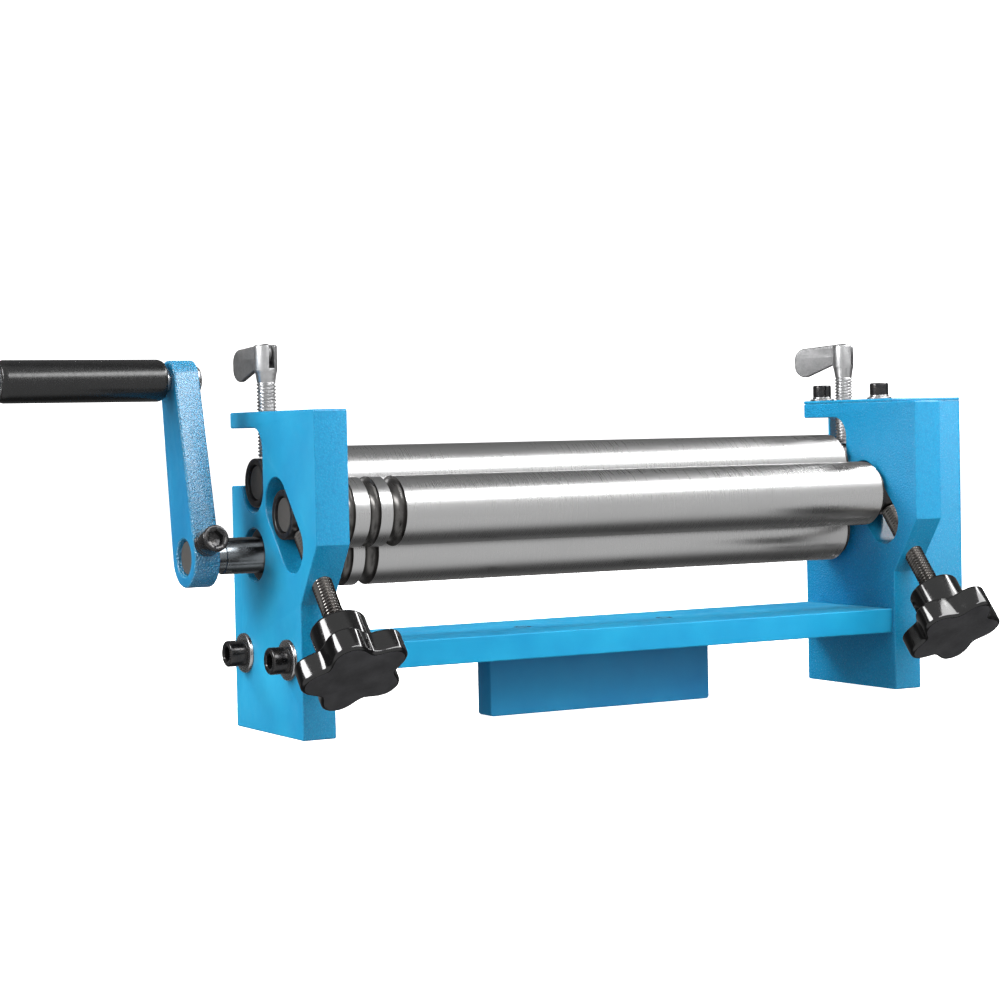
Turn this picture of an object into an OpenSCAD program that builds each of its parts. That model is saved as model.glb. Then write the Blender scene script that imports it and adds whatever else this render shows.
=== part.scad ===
// Slip roll machine for sheet metal: two side frames joined by a crossbar carry a geared
// pair of pinch rolls and a forming roll that two star knobs push up a slanted slot.
// X runs along the rolls (crank on the left), Y runs to the back, Z is up.
// The origin lies on the bench, midway between the frames and midway along the feet.

/* [Side frames] */
// Clear width between the side frames
clear_w = 310; // [240:1:400]
// Thickness of a side frame
side_t = 15.8; // [14.5:0.1:18]
// Depth of a foot, front to back
foot_d = 73.2; // [71:0.1:80]
// Overhang of the nose in front of the foot
nose_over = 18; // [16:0.1:24]
// Height of the nose's lower corner
chin_z = 85.8; // [80:0.1:90]
// Height where the slanted face meets the front of the foot
throat_z = 59.2; // [55:0.1:64]
// Height of the frame above the axis of the upper roll
top_rise = 32.1; // [30:0.1:40]
// Thickness of the arm above the rear notch
arm_t = 7.3; // [6:0.1:9]
// Depth of the notch's round seat below the axis of the upper roll
seat_drop = 2.1; // [1.5:0.1:3]
// Rise of the rear horn above the round seat
horn_rise = 0.6; // [0.2:0.1:4]
// Radius in the notch's upper corner
notch_corner_r = 10; // [6:0.5:11]

/* [Rolls] */
// Diameter of the rolls
roll_d = 32; // [30:0.5:34]
// Gap between the faces of the rolls
nip_gap = 0.5; // [0.4:0.1:1.5]
// Height of the lower roll's axis
lower_z = 79.8; // [78:0.1:84]
// Distance of the pinch rolls behind the middle of the feet
pinch_y = 12.5; // [11:0.1:14]
// Angle of the front roll below the upper roll, seen from the end
front_angle = 25.3; // [22:0.1:30]
// Gap between a roll's end and the frame
roll_end_gap = 2.5; // [2.3:0.1:4]
// Chamfer at a roll's ends
roll_chamfer = 0.8; // [0.4:0.1:1.5]
// Diameter of the journals
journal_d = 16.4; // [15.5:0.1:17.4]
// Depth of a journal's end inside its bush
journal_recess = 1.4; // [0.5:0.1:3]
// Distance of the first wire groove from the roll's end
groove_first = 9.1; // [7:0.1:12]
// Distance between the wire grooves
groove_step = 12.1; // [9:0.1:16]
// Width of the narrow wire groove
groove_small_w = 4.3; // [3:0.1:5]
// Width of the middle wire groove
groove_middle_w = 5.5; // [4:0.1:6]
// Width of the wide wire groove
groove_large_w = 7; // [5:0.1:8]

/* [Bushes] */
// Diameter of a sliding bush
bush_d = 22.2; // [21.5:0.1:23]
// Diameter of the fixed lower bushes
lower_bush_d = 24; // [22.5:0.1:26]
// Diameter of a bush's flange
bush_flange_d = 28; // [26:0.1:30]
// Thickness of a bush's flange
bush_flange_t = 1.7; // [1:0.1:1.8]
// Depth of a sliding bush's end inside the frame
bush_recess = 1; // [0.5:0.1:2]
// Depth of a lower bush's end inside the frame
lower_bush_recess = 3; // [1:0.1:4]

/* [Forming roll adjustment] */
// Angle of the slanted slot below the horizontal
slide_angle = 50; // [46:0.5:54]
// Travel of the front roll down the slot
front_travel = 18; // [10:0.5:18]
// Free length of the slot above the front roll
slot_spare = 6.7; // [5:0.1:7]
// Diameter of a knob's screw
knob_screw_d = 9.5; // [8:0.1:10.4]
// Distance of the knob's hub from the front roll's axis
knob_reach = 61.5; // [58:0.1:70]
// Diameter of the knob's hub
knob_hub_d = 25; // [20:0.5:30]
// Height of the knob's hub
knob_hub_h = 16.8; // [10:0.1:20]
// Diameter over the knob's lobes
knob_d = 49.2; // [44:0.1:54]
// Depth of the valleys between the lobes
knob_valley = 6.3; // [2:0.1:7]
// Height of the lobed part
knob_star_h = 11.3; // [8:0.1:13]
// Number of lobes
knob_lobes = 5; // [4:1:8]
// Turn of the left knob, from the X axis to a lobe
left_knob_turn = 46; // [0:1:90]
// Turn of the right knob, from the X axis to a lobe
right_knob_turn = 10; // [0:1:90]
// Material left over the screw's end in the knob
knob_cap_t = 4; // [3:0.5:6]

/* [Thumb screws] */
// Diameter of a thumb screw's thread
thumb_d = 9.1; // [8.4:0.1:10]
// Thread showing above the frame
thumb_show = 13.1; // [9:0.1:20]
// Height of the tapered neck under the head
thumb_neck_h = 4.7; // [3:0.1:8]
// Diameter of the neck at the thread
thumb_neck_low_d = 8.3; // [7:0.1:9]
// Diameter of the neck at the head
thumb_neck_top_d = 9.8; // [9:0.1:10]
// Diameter of the slotted head
thumb_head_d = 10.5; // [10:0.1:12]
// Height of the slotted head
thumb_head_h = 12.4; // [11.5:0.1:15]
// Thickness of a leaf
leaf_t = 2.5; // [1.5:0.1:3.5]
// Radius of a leaf's root
leaf_root_r = 4.2; // [3.5:0.1:5]
// Radius of the round corners at a leaf's end
leaf_end_r = 5.9; // [5:0.1:7.5]
// Distance from the pin to the centres of those corners
leaf_reach = 21; // [16:0.1:26]
// Drop of the upper corner's centre below the pin
leaf_drop = 3.5; // [0:0.1:4.5]
// Straight length between the corners
leaf_end_flat = 3.1; // [0.5:0.1:4]
// Diameter of a leaf's pin
leaf_pin_d = 3; // [2:0.1:4]
// Depth of that pin below the head's top
leaf_pin_drop = 3.7; // [3:0.1:4.5]
// Direction of the left leaf, from the X axis
left_leaf_turn = 98; // [0:0.5:180]
// Direction of the right leaf, from the X axis
right_leaf_turn = 119.5; // [0:0.5:180]

/* [Crossbar and vise bar] */
// Depth of the crossbar
bar_d = 71.2; // [68:0.1:73]
// Thickness of the crossbar
bar_t = 12; // [11:0.1:15]
// Height of the crossbar's middle
bar_z = 34.65; // [32:0.05:36]
// Distance between the bolts in one end of the crossbar
bolt_pitch = 47.4; // [40:0.1:50]
// Distance of the crossbar's middle behind the middle of the feet
bar_y = 0.8; // [0.2:0.1:0.9]
// Length of the vise bar
vise_w = 123; // [80:1:180]
// Thickness of the vise bar
vise_t = 12.5; // [10:0.1:16]
// Distance of the vise bar's middle in front of the middle of the feet
vise_y = 1.9; // [0:0.1:4]
// Radius of the vise bar's lower corners
vise_corner_r = 3; // [1:0.5:6]
// Distance between the vise bar's screws
vise_pitch = 80; // [50:1:100]

/* [Screws] */
// Diameter of the frame bolts
bolt_d = 7.9; // [7:0.1:8.5]
// Head diameter of the frame bolts
bolt_head_d = 12; // [11:0.1:14]
// Head height of the frame bolts
bolt_head_h = 8; // [6:0.1:9]
// Width across the flats of the frame bolts' sockets
bolt_hex = 6.35; // [4:0.05:7]
// Depth of a frame bolt's thread in the crossbar
bolt_bite = 20; // [12:0.5:30]
// Outer diameter of the frame bolts' washers
washer_d = 18; // [15:0.1:18.6]
// Thickness of the frame bolts' washers
washer_t = 1.6; // [1:0.1:2.5]
// Diameter of the small screws
screw_d = 6; // [5:0.1:6.4]
// Head diameter of the small screws
screw_head_d = 9.4; // [8.5:0.1:11]
// Head height of the small screws
screw_head_h = 6; // [4:0.1:6.5]
// Width across the flats of the small screws' sockets
screw_hex = 4.75; // [3:0.05:5]
// Outer diameter of the small screws' washers
small_washer_d = 12.4; // [11:0.1:13]
// Thickness of the small screws' washers
small_washer_t = 2; // [0.8:0.1:2.6]
// Length of a cover screw below its washer
cover_screw_len = 8.4; // [6:0.1:8.6]
// Length of a vise bar screw below its head
vise_screw_len = 16; // [12:0.5:24]

/* [Gear cover] */
// Depth of the cover outside the frame
cover_out = 29.2; // [26:0.1:34]
// Thickness of the cover's sheet
cover_t = 1.6; // [1:0.1:1.8]
// Height of the cover's lower edge
cover_z = 46; // [45:0.5:52]
// Play round the thumb screw in the cover's hole
cover_hole_play = 1; // [0.8:0.1:1.4]
// Outer radius of the cover's folds
cover_fold_r = 3; // [2:0.1:5]
// Distance of the rear cover screw behind the thumb screw
cover_screw_back = 18.5; // [17:0.1:19]
// Distance of the front cover screw in front of the thumb screw
cover_screw_front = 29.3; // [20:0.1:36]

/* [Gears] */
// Teeth on each gear
gear_teeth = 13; // [12:1:15]
// Pressure angle
pressure_angle = 25; // [22:1:27]
// Width of a gear
gear_w = 14; // [10:0.5:15]
// Gap between a gear and the frame
gear_gap = 1.2; // [0.8:0.1:2]
// Thinning of each gear's teeth, which gives them play
gear_play = 0.4; // [0.3:0.05:0.6]
// Diameter of the gear seat on a shaft
gear_seat_d = 14; // [13:0.1:14.6]
// Width of a gear's key
key_w = 4; // [3:0.1:4.5]
// Thickness of a retaining ring
ring_t = 1.2; // [0.8:0.1:1.6]
// Outer diameter of a retaining ring
ring_d = 19; // [17:0.1:21]
// Length of shaft beyond a retaining ring
ring_land = 1.2; // [0.8:0.1:2]

/* [Crank] */
// Distance from the shaft to the handle
crank_len = 80.8; // [60:0.1:110]
// Thickness of the crank arm
crank_t = 12; // [11:0.1:16]
// Radius of the crank's lower end
crank_low_r = 13.5; // [13:0.1:18]
// Radius of the crank's upper end
crank_top_r = 9; // [7.5:0.1:12]
// Lean of the crank to the back
crank_lean = 10.6; // [0:0.1:30]
// Distance from the frame to the crank
crank_gap = 22; // [16:0.1:40]
// Depth of the shaft's end inside the crank
shaft_recess = 1.8; // [0.5:0.1:3]
// Depth of the flat on the shaft, measured from the shaft's axis
flat_dist = 5.5; // [5:0.1:6.5]
// Distance of the crank's screw above the shaft's axis
crank_screw_up = 3.5; // [2.5:0.1:4]
// Diameter of the tip of the crank's screw
crank_tip_d = 4.4; // [3:0.1:5]
// Thickness of the spring washer under the crank's screw
spring_washer_t = 2.2; // [1.5:0.1:3]
// Opening in the spring washer
spring_gap = 0.8; // [0.5:0.1:1.5]
// Width of the groove round the shaft beside the crank
stub_groove_w = 3.6; // [2:0.1:5]
// Depth of that groove
stub_groove_depth = 0.5; // [0.3:0.1:1]
// Distance of that groove from the crank
stub_groove_gap = 2.2; // [1:0.1:5]

/* [Handle] */
// Length of the grip
grip_len = 76; // [60:1:120]
// Diameter of the grip
grip_d = 19; // [18:0.1:26]
// Diameter of the handle bolt
handle_bolt_d = 8; // [6:0.1:9]
// Diameter of the handle bolt's head and of the grip's recess for it
handle_head_d = 13; // [12:0.1:14]
// Height of the handle bolt's head
handle_head_h = 6; // [5:0.1:8]
// Depth of that head inside the grip's end
head_sink = 1; // [0.5:0.1:3]
// Diameter of the shoulder between the grip and the crank
shoulder_d = 10.6; // [10:0.1:14]
// Thickness of the shoulder between the grip and the crank
shoulder_t = 2.3; // [1.5:0.1:4]
// Length of the bolt's riveted end behind the crank
rivet_h = 1.4; // [0.8:0.1:2]

/* [Fits] */
// Radial clearance of turning fits
run_clear = 0.05; // [0.03:0.01:0.08]
// Radial clearance of fixed fits
fix_clear = 0.02; // [0.01:0.01:0.04]
// Gap beside pieces that slide or turn past each other
slide_clear = 0.3; // [0.25:0.01:0.35]
// Extra diameter of a clearance hole for a screw
hole_clear = 0.7; // [0.4:0.1:1.2]

/* [Hidden] */
$fn = 64;
// Overrun of a cut beyond the face that it opens
over = 1;
// Cutting depth for holes that run right through a frame's nose or arm
deep = 60;
paint = "#2f9fd6";
steel = "#b9bcc0";
dark_steel = "#4a4d50";
black_oxide = "#2a2a2c";
zinc = "#c9ccce";
phenolic = "#151517";

// Frame planes
side_in = clear_w / 2;
side_out = side_in + side_t;
side_mid = side_in + side_t / 2;
foot_front = -foot_d / 2;
back_y = foot_d / 2;
nose_y = foot_front - nose_over;

// Roll axes
centre_gap = roll_d + nip_gap;
upper_z = lower_z + centre_gap;
front_y = pinch_y - centre_gap * cos(front_angle);
front_z = upper_z - centre_gap * sin(front_angle);
frame_h = upper_z + top_rise;
roll_half = side_in - roll_end_gap;
groove_widths = [groove_small_w, groove_middle_w, groove_large_w];

// Notch, slot and bore in a frame
slot_r = bush_d / 2 + slide_clear;
seat_z = upper_z - seat_drop;
horn_z = seat_z + horn_rise;
arm_z = frame_h - arm_t;
slot_low = front_travel + slide_clear;
lower_bore_r = lower_bush_d / 2 + fix_clear;

// Knob screw, along the slanted slot
knob_tip = bush_d / 2 + slide_clear;
knob_end = knob_reach + knob_hub_h + knob_star_h;

// Thumb screw heights
thumb_tip_z = upper_z + bush_d / 2 + slide_clear;
neck_z = frame_h + thumb_show;
head_z = neck_z + thumb_neck_h;
leaf_pin_z = head_z + thumb_head_h - leaf_pin_drop;
leaf_low = leaf_drop + leaf_end_flat;
leaf_span = norm([leaf_reach, leaf_low]);
leaf_tilt = atan2(leaf_low, leaf_reach);
leaf_slope = leaf_tilt + asin((leaf_end_r - leaf_root_r) / leaf_span);
leaf_slot_w = leaf_t + slide_clear;
leaf_slot_depth = (leaf_root_r + thumb_head_d / 2 * sin(leaf_slope)) / cos(leaf_slope) + slide_clear;

// Gear seats, keys and rings
gear_module = centre_gap / gear_teeth;
gear_in = side_out + gear_gap;
shoulder_x = gear_in - slide_clear;
ring_x = gear_in + gear_w + slide_clear;
shaft_x = ring_x + ring_t + ring_land;
ring_bite = ring_t / 2;
key_len = gear_w - 2 * slide_clear;

// Crank planes and its screw
crank_in = side_out + crank_gap;
crank_out = crank_in + crank_t;
crank_mid = crank_in + crank_t / 2;
crank_taper = asin((crank_low_r - crank_top_r) / crank_len);
screw_angle = crank_lean + crank_taper;
handle_y = pinch_y + crank_len * sin(crank_lean);
handle_z = lower_z + crank_len * cos(crank_lean);

// Crossbar bolts
bolt_ys = [bar_y - bolt_pitch / 2, bar_y + bolt_pitch / 2];
cover_screw_ys = [pinch_y + cover_screw_back, pinch_y - cover_screw_front];

// Turns a shape drawn along Z so that it runs along X, starting at x
module along_x(x) { translate([x, 0, 0]) rotate([90, 0, 90]) children(); }

// Places a shape drawn along Z on a roll's axis, so that it runs along X from x
module on_axis(x, y, z) { translate([x, y, z]) rotate([0, 90, 0]) children(); }

// Places a shape drawn along Z at the front roll, so that Z points down the slanted slot
module down_slot(x) {
    translate([x, front_y, front_z]) rotate([90 + slide_angle, 0, 0]) children();
}

// A cylinder with a chamfer at both ends
module turned(r, h, chamfer) {
    rotate_extrude() polygon([
        [0, 0], [r - chamfer, 0], [r, chamfer],
        [r, h - chamfer], [r - chamfer, h], [0, h]
    ]);
}

// A flat ring
module flat_ring(outer_r, inner_r, h) {
    difference() {
        cylinder(r = outer_r, h = h);
        translate([0, 0, -over]) cylinder(r = inner_r, h = h + 2 * over);
    }
}

// A socket head screw with its head above the origin and its shank below
module socket_screw(d, length, head_d, head_h, hex) {
    chamfer = head_h / 12;
    shank_r = d / 2;
    head_r = head_d / 2;
    difference() {
        rotate_extrude() polygon([
            [0, -length], [shank_r - chamfer, -length], [shank_r, -length + chamfer],
            [shank_r, 0], [head_r, 0], [head_r, head_h - chamfer],
            [head_r - chamfer, head_h], [0, head_h]
        ]);
        translate([0, 0, head_h / 2]) cylinder(d = hex / cos(30), h = head_h, $fn = 6);
    }
}

// Outline of two circles joined by their outer tangents
module tapered_link(reach, low_r, high_r) {
    turn = acos((low_r - high_r) / reach);
    circle(r = low_r);
    translate([0, reach]) circle(r = high_r);
    polygon([
        [low_r * sin(turn), low_r * cos(turn)],
        [high_r * sin(turn), reach + high_r * cos(turn)],
        [-high_r * sin(turn), reach + high_r * cos(turn)],
        [-low_r * sin(turn), low_r * cos(turn)]
    ]);
}

// Side frame

// Opening for the upper bush: a round seat, open upwards and, above the horn, to the back
module rear_notch() {
    difference() {
        union() {
            translate([pinch_y, seat_z]) circle(r = slot_r);
            translate([pinch_y - slot_r, seat_z]) square([2 * slot_r, arm_z - seat_z]);
            translate([pinch_y, horn_z]) square([back_y - pinch_y + over, arm_z - horn_z]);
        }
        difference() {
            translate([pinch_y - slot_r - over, arm_z - notch_corner_r])
                square([notch_corner_r + over, notch_corner_r + over]);
            translate([pinch_y - slot_r + notch_corner_r, arm_z - notch_corner_r])
                circle(r = notch_corner_r);
        }
    }
}

// Slanted slot for the front bush
module slanted_slot() {
    translate([front_y, front_z]) rotate(slide_angle) {
        translate([slot_spare, 0]) circle(r = slot_r);
        translate([-slot_low, 0]) circle(r = slot_r);
        translate([-slot_low, -slot_r]) square([slot_low + slot_spare, 2 * slot_r]);
    }
}

// End view of a side frame
module side_outline() {
    difference() {
        polygon([
            [foot_front, 0], [back_y, 0], [back_y, frame_h],
            [nose_y, frame_h], [nose_y, chin_z], [foot_front, throat_z]
        ]);
        rear_notch();
        slanted_slot();
        translate([pinch_y, lower_z]) circle(r = lower_bore_r);
    }
}

// A side frame, on the left for side = -1 and on the right for side = 1
module side_frame(side) {
    difference() {
        along_x(side < 0 ? -side_out : side_in) linear_extrude(side_t) side_outline();
        for (y = bolt_ys)
            on_axis(side * side_mid - side_t, y, bar_z)
                cylinder(d = bolt_d + hole_clear, h = 2 * side_t);
        translate([side * side_mid, pinch_y, arm_z - over])
            cylinder(r = thumb_d / 2 + run_clear, h = arm_t + 2 * over);
        down_slot(side * side_mid) translate([0, 0, slot_low])
            cylinder(r = knob_screw_d / 2 + run_clear, h = deep);
        if (side > 0) for (y = cover_screw_ys)
            translate([side_mid, y, arm_z - over])
                cylinder(r = screw_d / 2 + fix_clear, h = deep);
    }
}
module left_frame() { color(paint) side_frame(-1); }
module right_frame() { color(paint) side_frame(1); }

// Crossbar and vise bar

module crossbar() {
    color(paint) difference() {
        translate([-side_in, bar_y - bar_d / 2, bar_z - bar_t / 2]) cube([clear_w, bar_d, bar_t]);
        for (side = [-1, 1], y = bolt_ys)
            on_axis(side * side_in - bolt_bite - over, y, bar_z)
                cylinder(r = bolt_d / 2 + fix_clear, h = 2 * (bolt_bite + over));
        for (x = [-vise_pitch / 2, vise_pitch / 2]) translate([x, -vise_y, bar_z]) {
            cylinder(d = screw_d + hole_clear, h = 2 * bar_t, center = true);
            translate([0, 0, bar_t / 2 - screw_head_h])
                cylinder(d = screw_head_d + hole_clear, h = bar_t);
        }
    }
}

// Upright bar under the crossbar that a bench vise grips
module vise_bar() {
    bar_low = bar_z - bar_t / 2;
    color(paint) difference() {
        translate([0, -vise_y + vise_t / 2, 0]) rotate([90, 0, 0]) linear_extrude(vise_t) {
            translate([-vise_w / 2 + vise_corner_r, 0]) square([vise_w - 2 * vise_corner_r, bar_low]);
            translate([-vise_w / 2, vise_corner_r]) square([vise_w, bar_low - vise_corner_r]);
            for (side = [-1, 1])
                translate([side * (vise_w / 2 - vise_corner_r), vise_corner_r]) circle(r = vise_corner_r);
        }
        for (x = [-vise_pitch / 2, vise_pitch / 2])
            translate([x, -vise_y, bar_z + bar_t / 2 - screw_head_h - vise_screw_len])
                cylinder(r = screw_d / 2 + fix_clear, h = deep);
    }
}

module vise_bar_screws() {
    color(black_oxide) for (x = [-vise_pitch / 2, vise_pitch / 2])
        translate([x, -vise_y, bar_z + bar_t / 2 - screw_head_h])
            socket_screw(screw_d, vise_screw_len, screw_head_d, screw_head_h, screw_hex);
}

module frame_bolts() {
    color(black_oxide) for (side = [-1, 1], y = bolt_ys)
        translate([side * (side_out + washer_t), y, bar_z]) rotate([0, side * 90, 0])
            socket_screw(bolt_d, side_t + washer_t + bolt_bite, bolt_head_d, bolt_head_h, bolt_hex);
}

module frame_washers() {
    color(zinc) for (side = [-1, 1], y = bolt_ys)
        translate([side * side_out, y, bar_z]) rotate([0, side * 90, 0])
            flat_ring(washer_d / 2, bolt_d / 2 + fix_clear, washer_t);
}

// Gear cover

// Plan of a box with rounded outer corners that is open towards the frame
module cover_plan(inset) {
    r = cover_fold_r - inset;
    depth = cover_out - inset;
    width = foot_d - 2 * inset;
    translate([side_out, -width / 2]) {
        square([depth - r, width]);
        translate([0, r]) square([depth, width - 2 * r]);
        for (y = [r, width - r]) translate([depth - r, y]) circle(r = r);
    }
}

// Folded sheet cover over the gears, with a top plate that reaches over the frame
module gear_cover() {
    color(paint) {
        difference() {
            translate([0, 0, cover_z]) linear_extrude(frame_h - cover_z) cover_plan(0);
            translate([0, 0, cover_z - over])
                linear_extrude(frame_h - cover_z + 2 * over) cover_plan(cover_t);
            translate([side_out - over, -foot_d / 2 + cover_t, cover_z - over])
                cube([2 * over, foot_d - 2 * cover_t, frame_h - cover_z + 2 * over]);
        }
        difference() {
            translate([0, 0, frame_h]) linear_extrude(cover_t) {
                cover_plan(0);
                translate([side_in, -foot_d / 2]) square([side_t + over, foot_d]);
            }
            translate([side_mid, pinch_y, frame_h - over])
                cylinder(r = thumb_d / 2 + cover_hole_play, h = cover_t + 2 * over);
            for (y = cover_screw_ys) translate([side_mid, y, frame_h - over])
                cylinder(d = screw_d + hole_clear, h = cover_t + 2 * over);
        }
    }
}

module cover_screws() {
    color(black_oxide) for (y = cover_screw_ys)
        translate([side_mid, y, frame_h + cover_t + small_washer_t])
            socket_screw(screw_d, cover_screw_len + small_washer_t, screw_head_d, screw_head_h, screw_hex);
}

module cover_washers() {
    color(zinc) for (y = cover_screw_ys) translate([side_mid, y, frame_h + cover_t])
        flat_ring(small_washer_d / 2, screw_d / 2 + fix_clear, small_washer_t);
}

// Bushes

// A flanged bush drawn along Z from the frame's inner face outwards
module flanged_bush(d, length, flange_gap) {
    translate([0, 0, flange_gap]) difference() {
        union() {
            cylinder(r = d / 2, h = length - flange_gap);
            translate([0, 0, -bush_flange_t]) cylinder(r = bush_flange_d / 2, h = bush_flange_t);
        }
        translate([0, 0, -bush_flange_t - over])
            cylinder(r = journal_d / 2 + run_clear, h = length + bush_flange_t + 2 * over);
    }
}

// A bush in its frame, on the left for side = -1 and on the right for side = 1
module placed_bush(side, y, z, d, length, flange_gap) {
    translate([side * side_in, y, z]) rotate([0, side * 90, 0]) flanged_bush(d, length, flange_gap);
}
module sliding_bush(side, y, z) {
    color(black_oxide) placed_bush(side, y, z, bush_d, side_t - bush_recess, -slide_clear);
}
module lower_bush(side) {
    color(black_oxide) placed_bush(side, pinch_y, lower_z, lower_bush_d, side_t - lower_bush_recess, 0);
}
module lower_bush_left() { lower_bush(-1); }
module lower_bush_right() { lower_bush(1); }
module upper_bush_left() { sliding_bush(-1, pinch_y, upper_z); }
module upper_bush_right() { sliding_bush(1, pinch_y, upper_z); }
module front_bush_left() { sliding_bush(-1, front_y, front_z); }
module front_bush_right() { sliding_bush(1, front_y, front_z); }

// Rolls

// Body of a roll along Z, with wire grooves near its left end
module roll_body(grooved) {
    difference() {
        turned(roll_d / 2, 2 * roll_half, roll_chamfer);
        if (grooved) for (i = [0 : len(groove_widths) - 1])
            translate([0, 0, groove_first + i * groove_step])
                rotate_extrude() translate([roll_d / 2, 0]) circle(d = groove_widths[i], $fn = 32);
    }
}

// Stub at a roll's right end: journal, gear seat, key seat and ring groove, along Z from the roll
module geared_stub() {
    journal = shoulder_x - roll_half;
    length = shaft_x - roll_half;
    difference() {
        union() {
            translate([0, 0, -over]) cylinder(r = journal_d / 2, h = journal + over);
            turned(gear_seat_d / 2, length, roll_chamfer / 2);
        }
        translate([-gear_seat_d / 2 - key_w / 2, -key_w / 2 - fix_clear, gear_in - roll_half + slide_clear])
            cube([key_w, key_w + 2 * fix_clear, key_len]);
        translate([0, 0, ring_x - roll_half])
            flat_ring(gear_seat_d, gear_seat_d / 2 - ring_bite, ring_t + slide_clear / 2);
    }
}

// Plain journal from inside the roll's end to inside its bush
module plain_journal() {
    translate([0, 0, -over])
        cylinder(r = journal_d / 2, h = side_out - bush_recess - journal_recess - roll_half + over);
}

// The crank drives this roll: its left journal runs on through the frame to the crank
module lower_roll() {
    stub = crank_out - shaft_recess - roll_half;
    color(steel) difference() {
        union() {
            on_axis(-roll_half, pinch_y, lower_z) roll_body(true);
            on_axis(-roll_half - stub, pinch_y, lower_z) turned(journal_d / 2, stub + over, roll_chamfer);
            on_axis(roll_half, pinch_y, lower_z) geared_stub();
        }
        on_axis(-crank_in + stub_groove_gap, pinch_y, lower_z)
            flat_ring(journal_d, journal_d / 2 - stub_groove_depth, stub_groove_w);
        translate([-crank_out - over, pinch_y, lower_z]) rotate([-screw_angle, 0, 0])
            translate([0, -journal_d, -journal_d]) cube([crank_t, journal_d - flat_dist, 2 * journal_d]);
    }
}
module upper_roll() {
    color(steel) {
        on_axis(-roll_half, pinch_y, upper_z) roll_body(false);
        on_axis(-roll_half, pinch_y, upper_z) mirror([0, 0, 1]) plain_journal();
        on_axis(roll_half, pinch_y, upper_z) geared_stub();
    }
}
module front_roll() {
    color(steel) {
        on_axis(-roll_half, front_y, front_z) roll_body(true);
        on_axis(-roll_half, front_y, front_z) mirror([0, 0, 1]) plain_journal();
        on_axis(roll_half, front_y, front_z) plain_journal();
    }
}

// Gears, keys and rings

// Point of an involute that starts on a circle of radius base, rolled out by t degrees
function involute(base, t) = [
    base * (cos(t) + t * PI / 180 * sin(t)),
    base * (sin(t) - t * PI / 180 * cos(t))
];
// Roll angle at which the involute reaches radius r
function roll_angle(base, r) = sqrt(max(pow(r / base, 2) - 1, 0)) * 180 / PI;
function turned_point(p, a) = [p[0] * cos(a) - p[1] * sin(a), p[0] * sin(a) + p[1] * cos(a)];

// Outline of a spur gear with a tooth centred on the X axis when phase is 0
module gear_outline(phase) {
    tip_share = 0.9;
    root_share = 1.25;
    pitch_r = gear_module * gear_teeth / 2;
    base_r = pitch_r * cos(pressure_angle);
    tip_r = pitch_r + gear_module * tip_share;
    root_r = pitch_r - gear_module * root_share;
    steps = 6;
    pitch_t = roll_angle(base_r, pitch_r);
    pitch_p = involute(base_r, pitch_t);
    half_tooth = 90 / gear_teeth - gear_play / pitch_r * 90 / PI;
    lean = half_tooth + atan2(pitch_p[1], pitch_p[0]);
    tip_t = roll_angle(base_r, tip_r);
    low_flank = [for (i = [0 : steps]) turned_point(involute(base_r, tip_t * i / steps), -lean)];
    points = [for (tooth = [0 : gear_teeth - 1]) let (a = tooth * 360 / gear_teeth + phase) each concat(
        [turned_point([root_r, 0], a - lean)],
        [for (p = low_flank) turned_point(p, a)],
        [for (i = [steps : -1 : 0]) turned_point([low_flank[i][0], -low_flank[i][1]], a)],
        [turned_point([root_r, 0], a + lean)]
    )];
    polygon(points);
}

// A gear on its shaft with a key seat towards +Z
module placed_gear(z, phase) {
    along_x(gear_in) translate([pinch_y, z]) linear_extrude(gear_w) difference() {
        gear_outline(phase);
        circle(r = gear_seat_d / 2 + fix_clear);
        translate([-key_w / 2 - fix_clear, 0])
            square([key_w + 2 * fix_clear, gear_seat_d / 2 + key_w / 2 + fix_clear]);
    }
}
module lower_gear() { color(dark_steel) placed_gear(lower_z, 90); }
module upper_gear() {
    even_turn = gear_teeth % 2 == 0 ? 180 / gear_teeth : 0;
    color(dark_steel) placed_gear(upper_z, 90 + even_turn);
}

module gear_key(z) {
    color(steel) translate([gear_in + slide_clear, pinch_y - key_w / 2, z + gear_seat_d / 2 - key_w / 2])
        cube([key_len, key_w, key_w]);
}
module lower_gear_key() { gear_key(lower_z); }
module upper_gear_key() { gear_key(upper_z); }

// Retaining ring with its open side down
module gear_ring(z) {
    color(black_oxide) on_axis(ring_x + slide_clear / 4, pinch_y, z) difference() {
        flat_ring(ring_d / 2, gear_seat_d / 2 - ring_bite + fix_clear, ring_t);
        translate([0, -key_w / 2, -over]) cube([ring_d, key_w, ring_t + 2 * over]);
    }
}
module lower_gear_ring() { gear_ring(lower_z); }
module upper_gear_ring() { gear_ring(upper_z); }

// Crank

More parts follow.
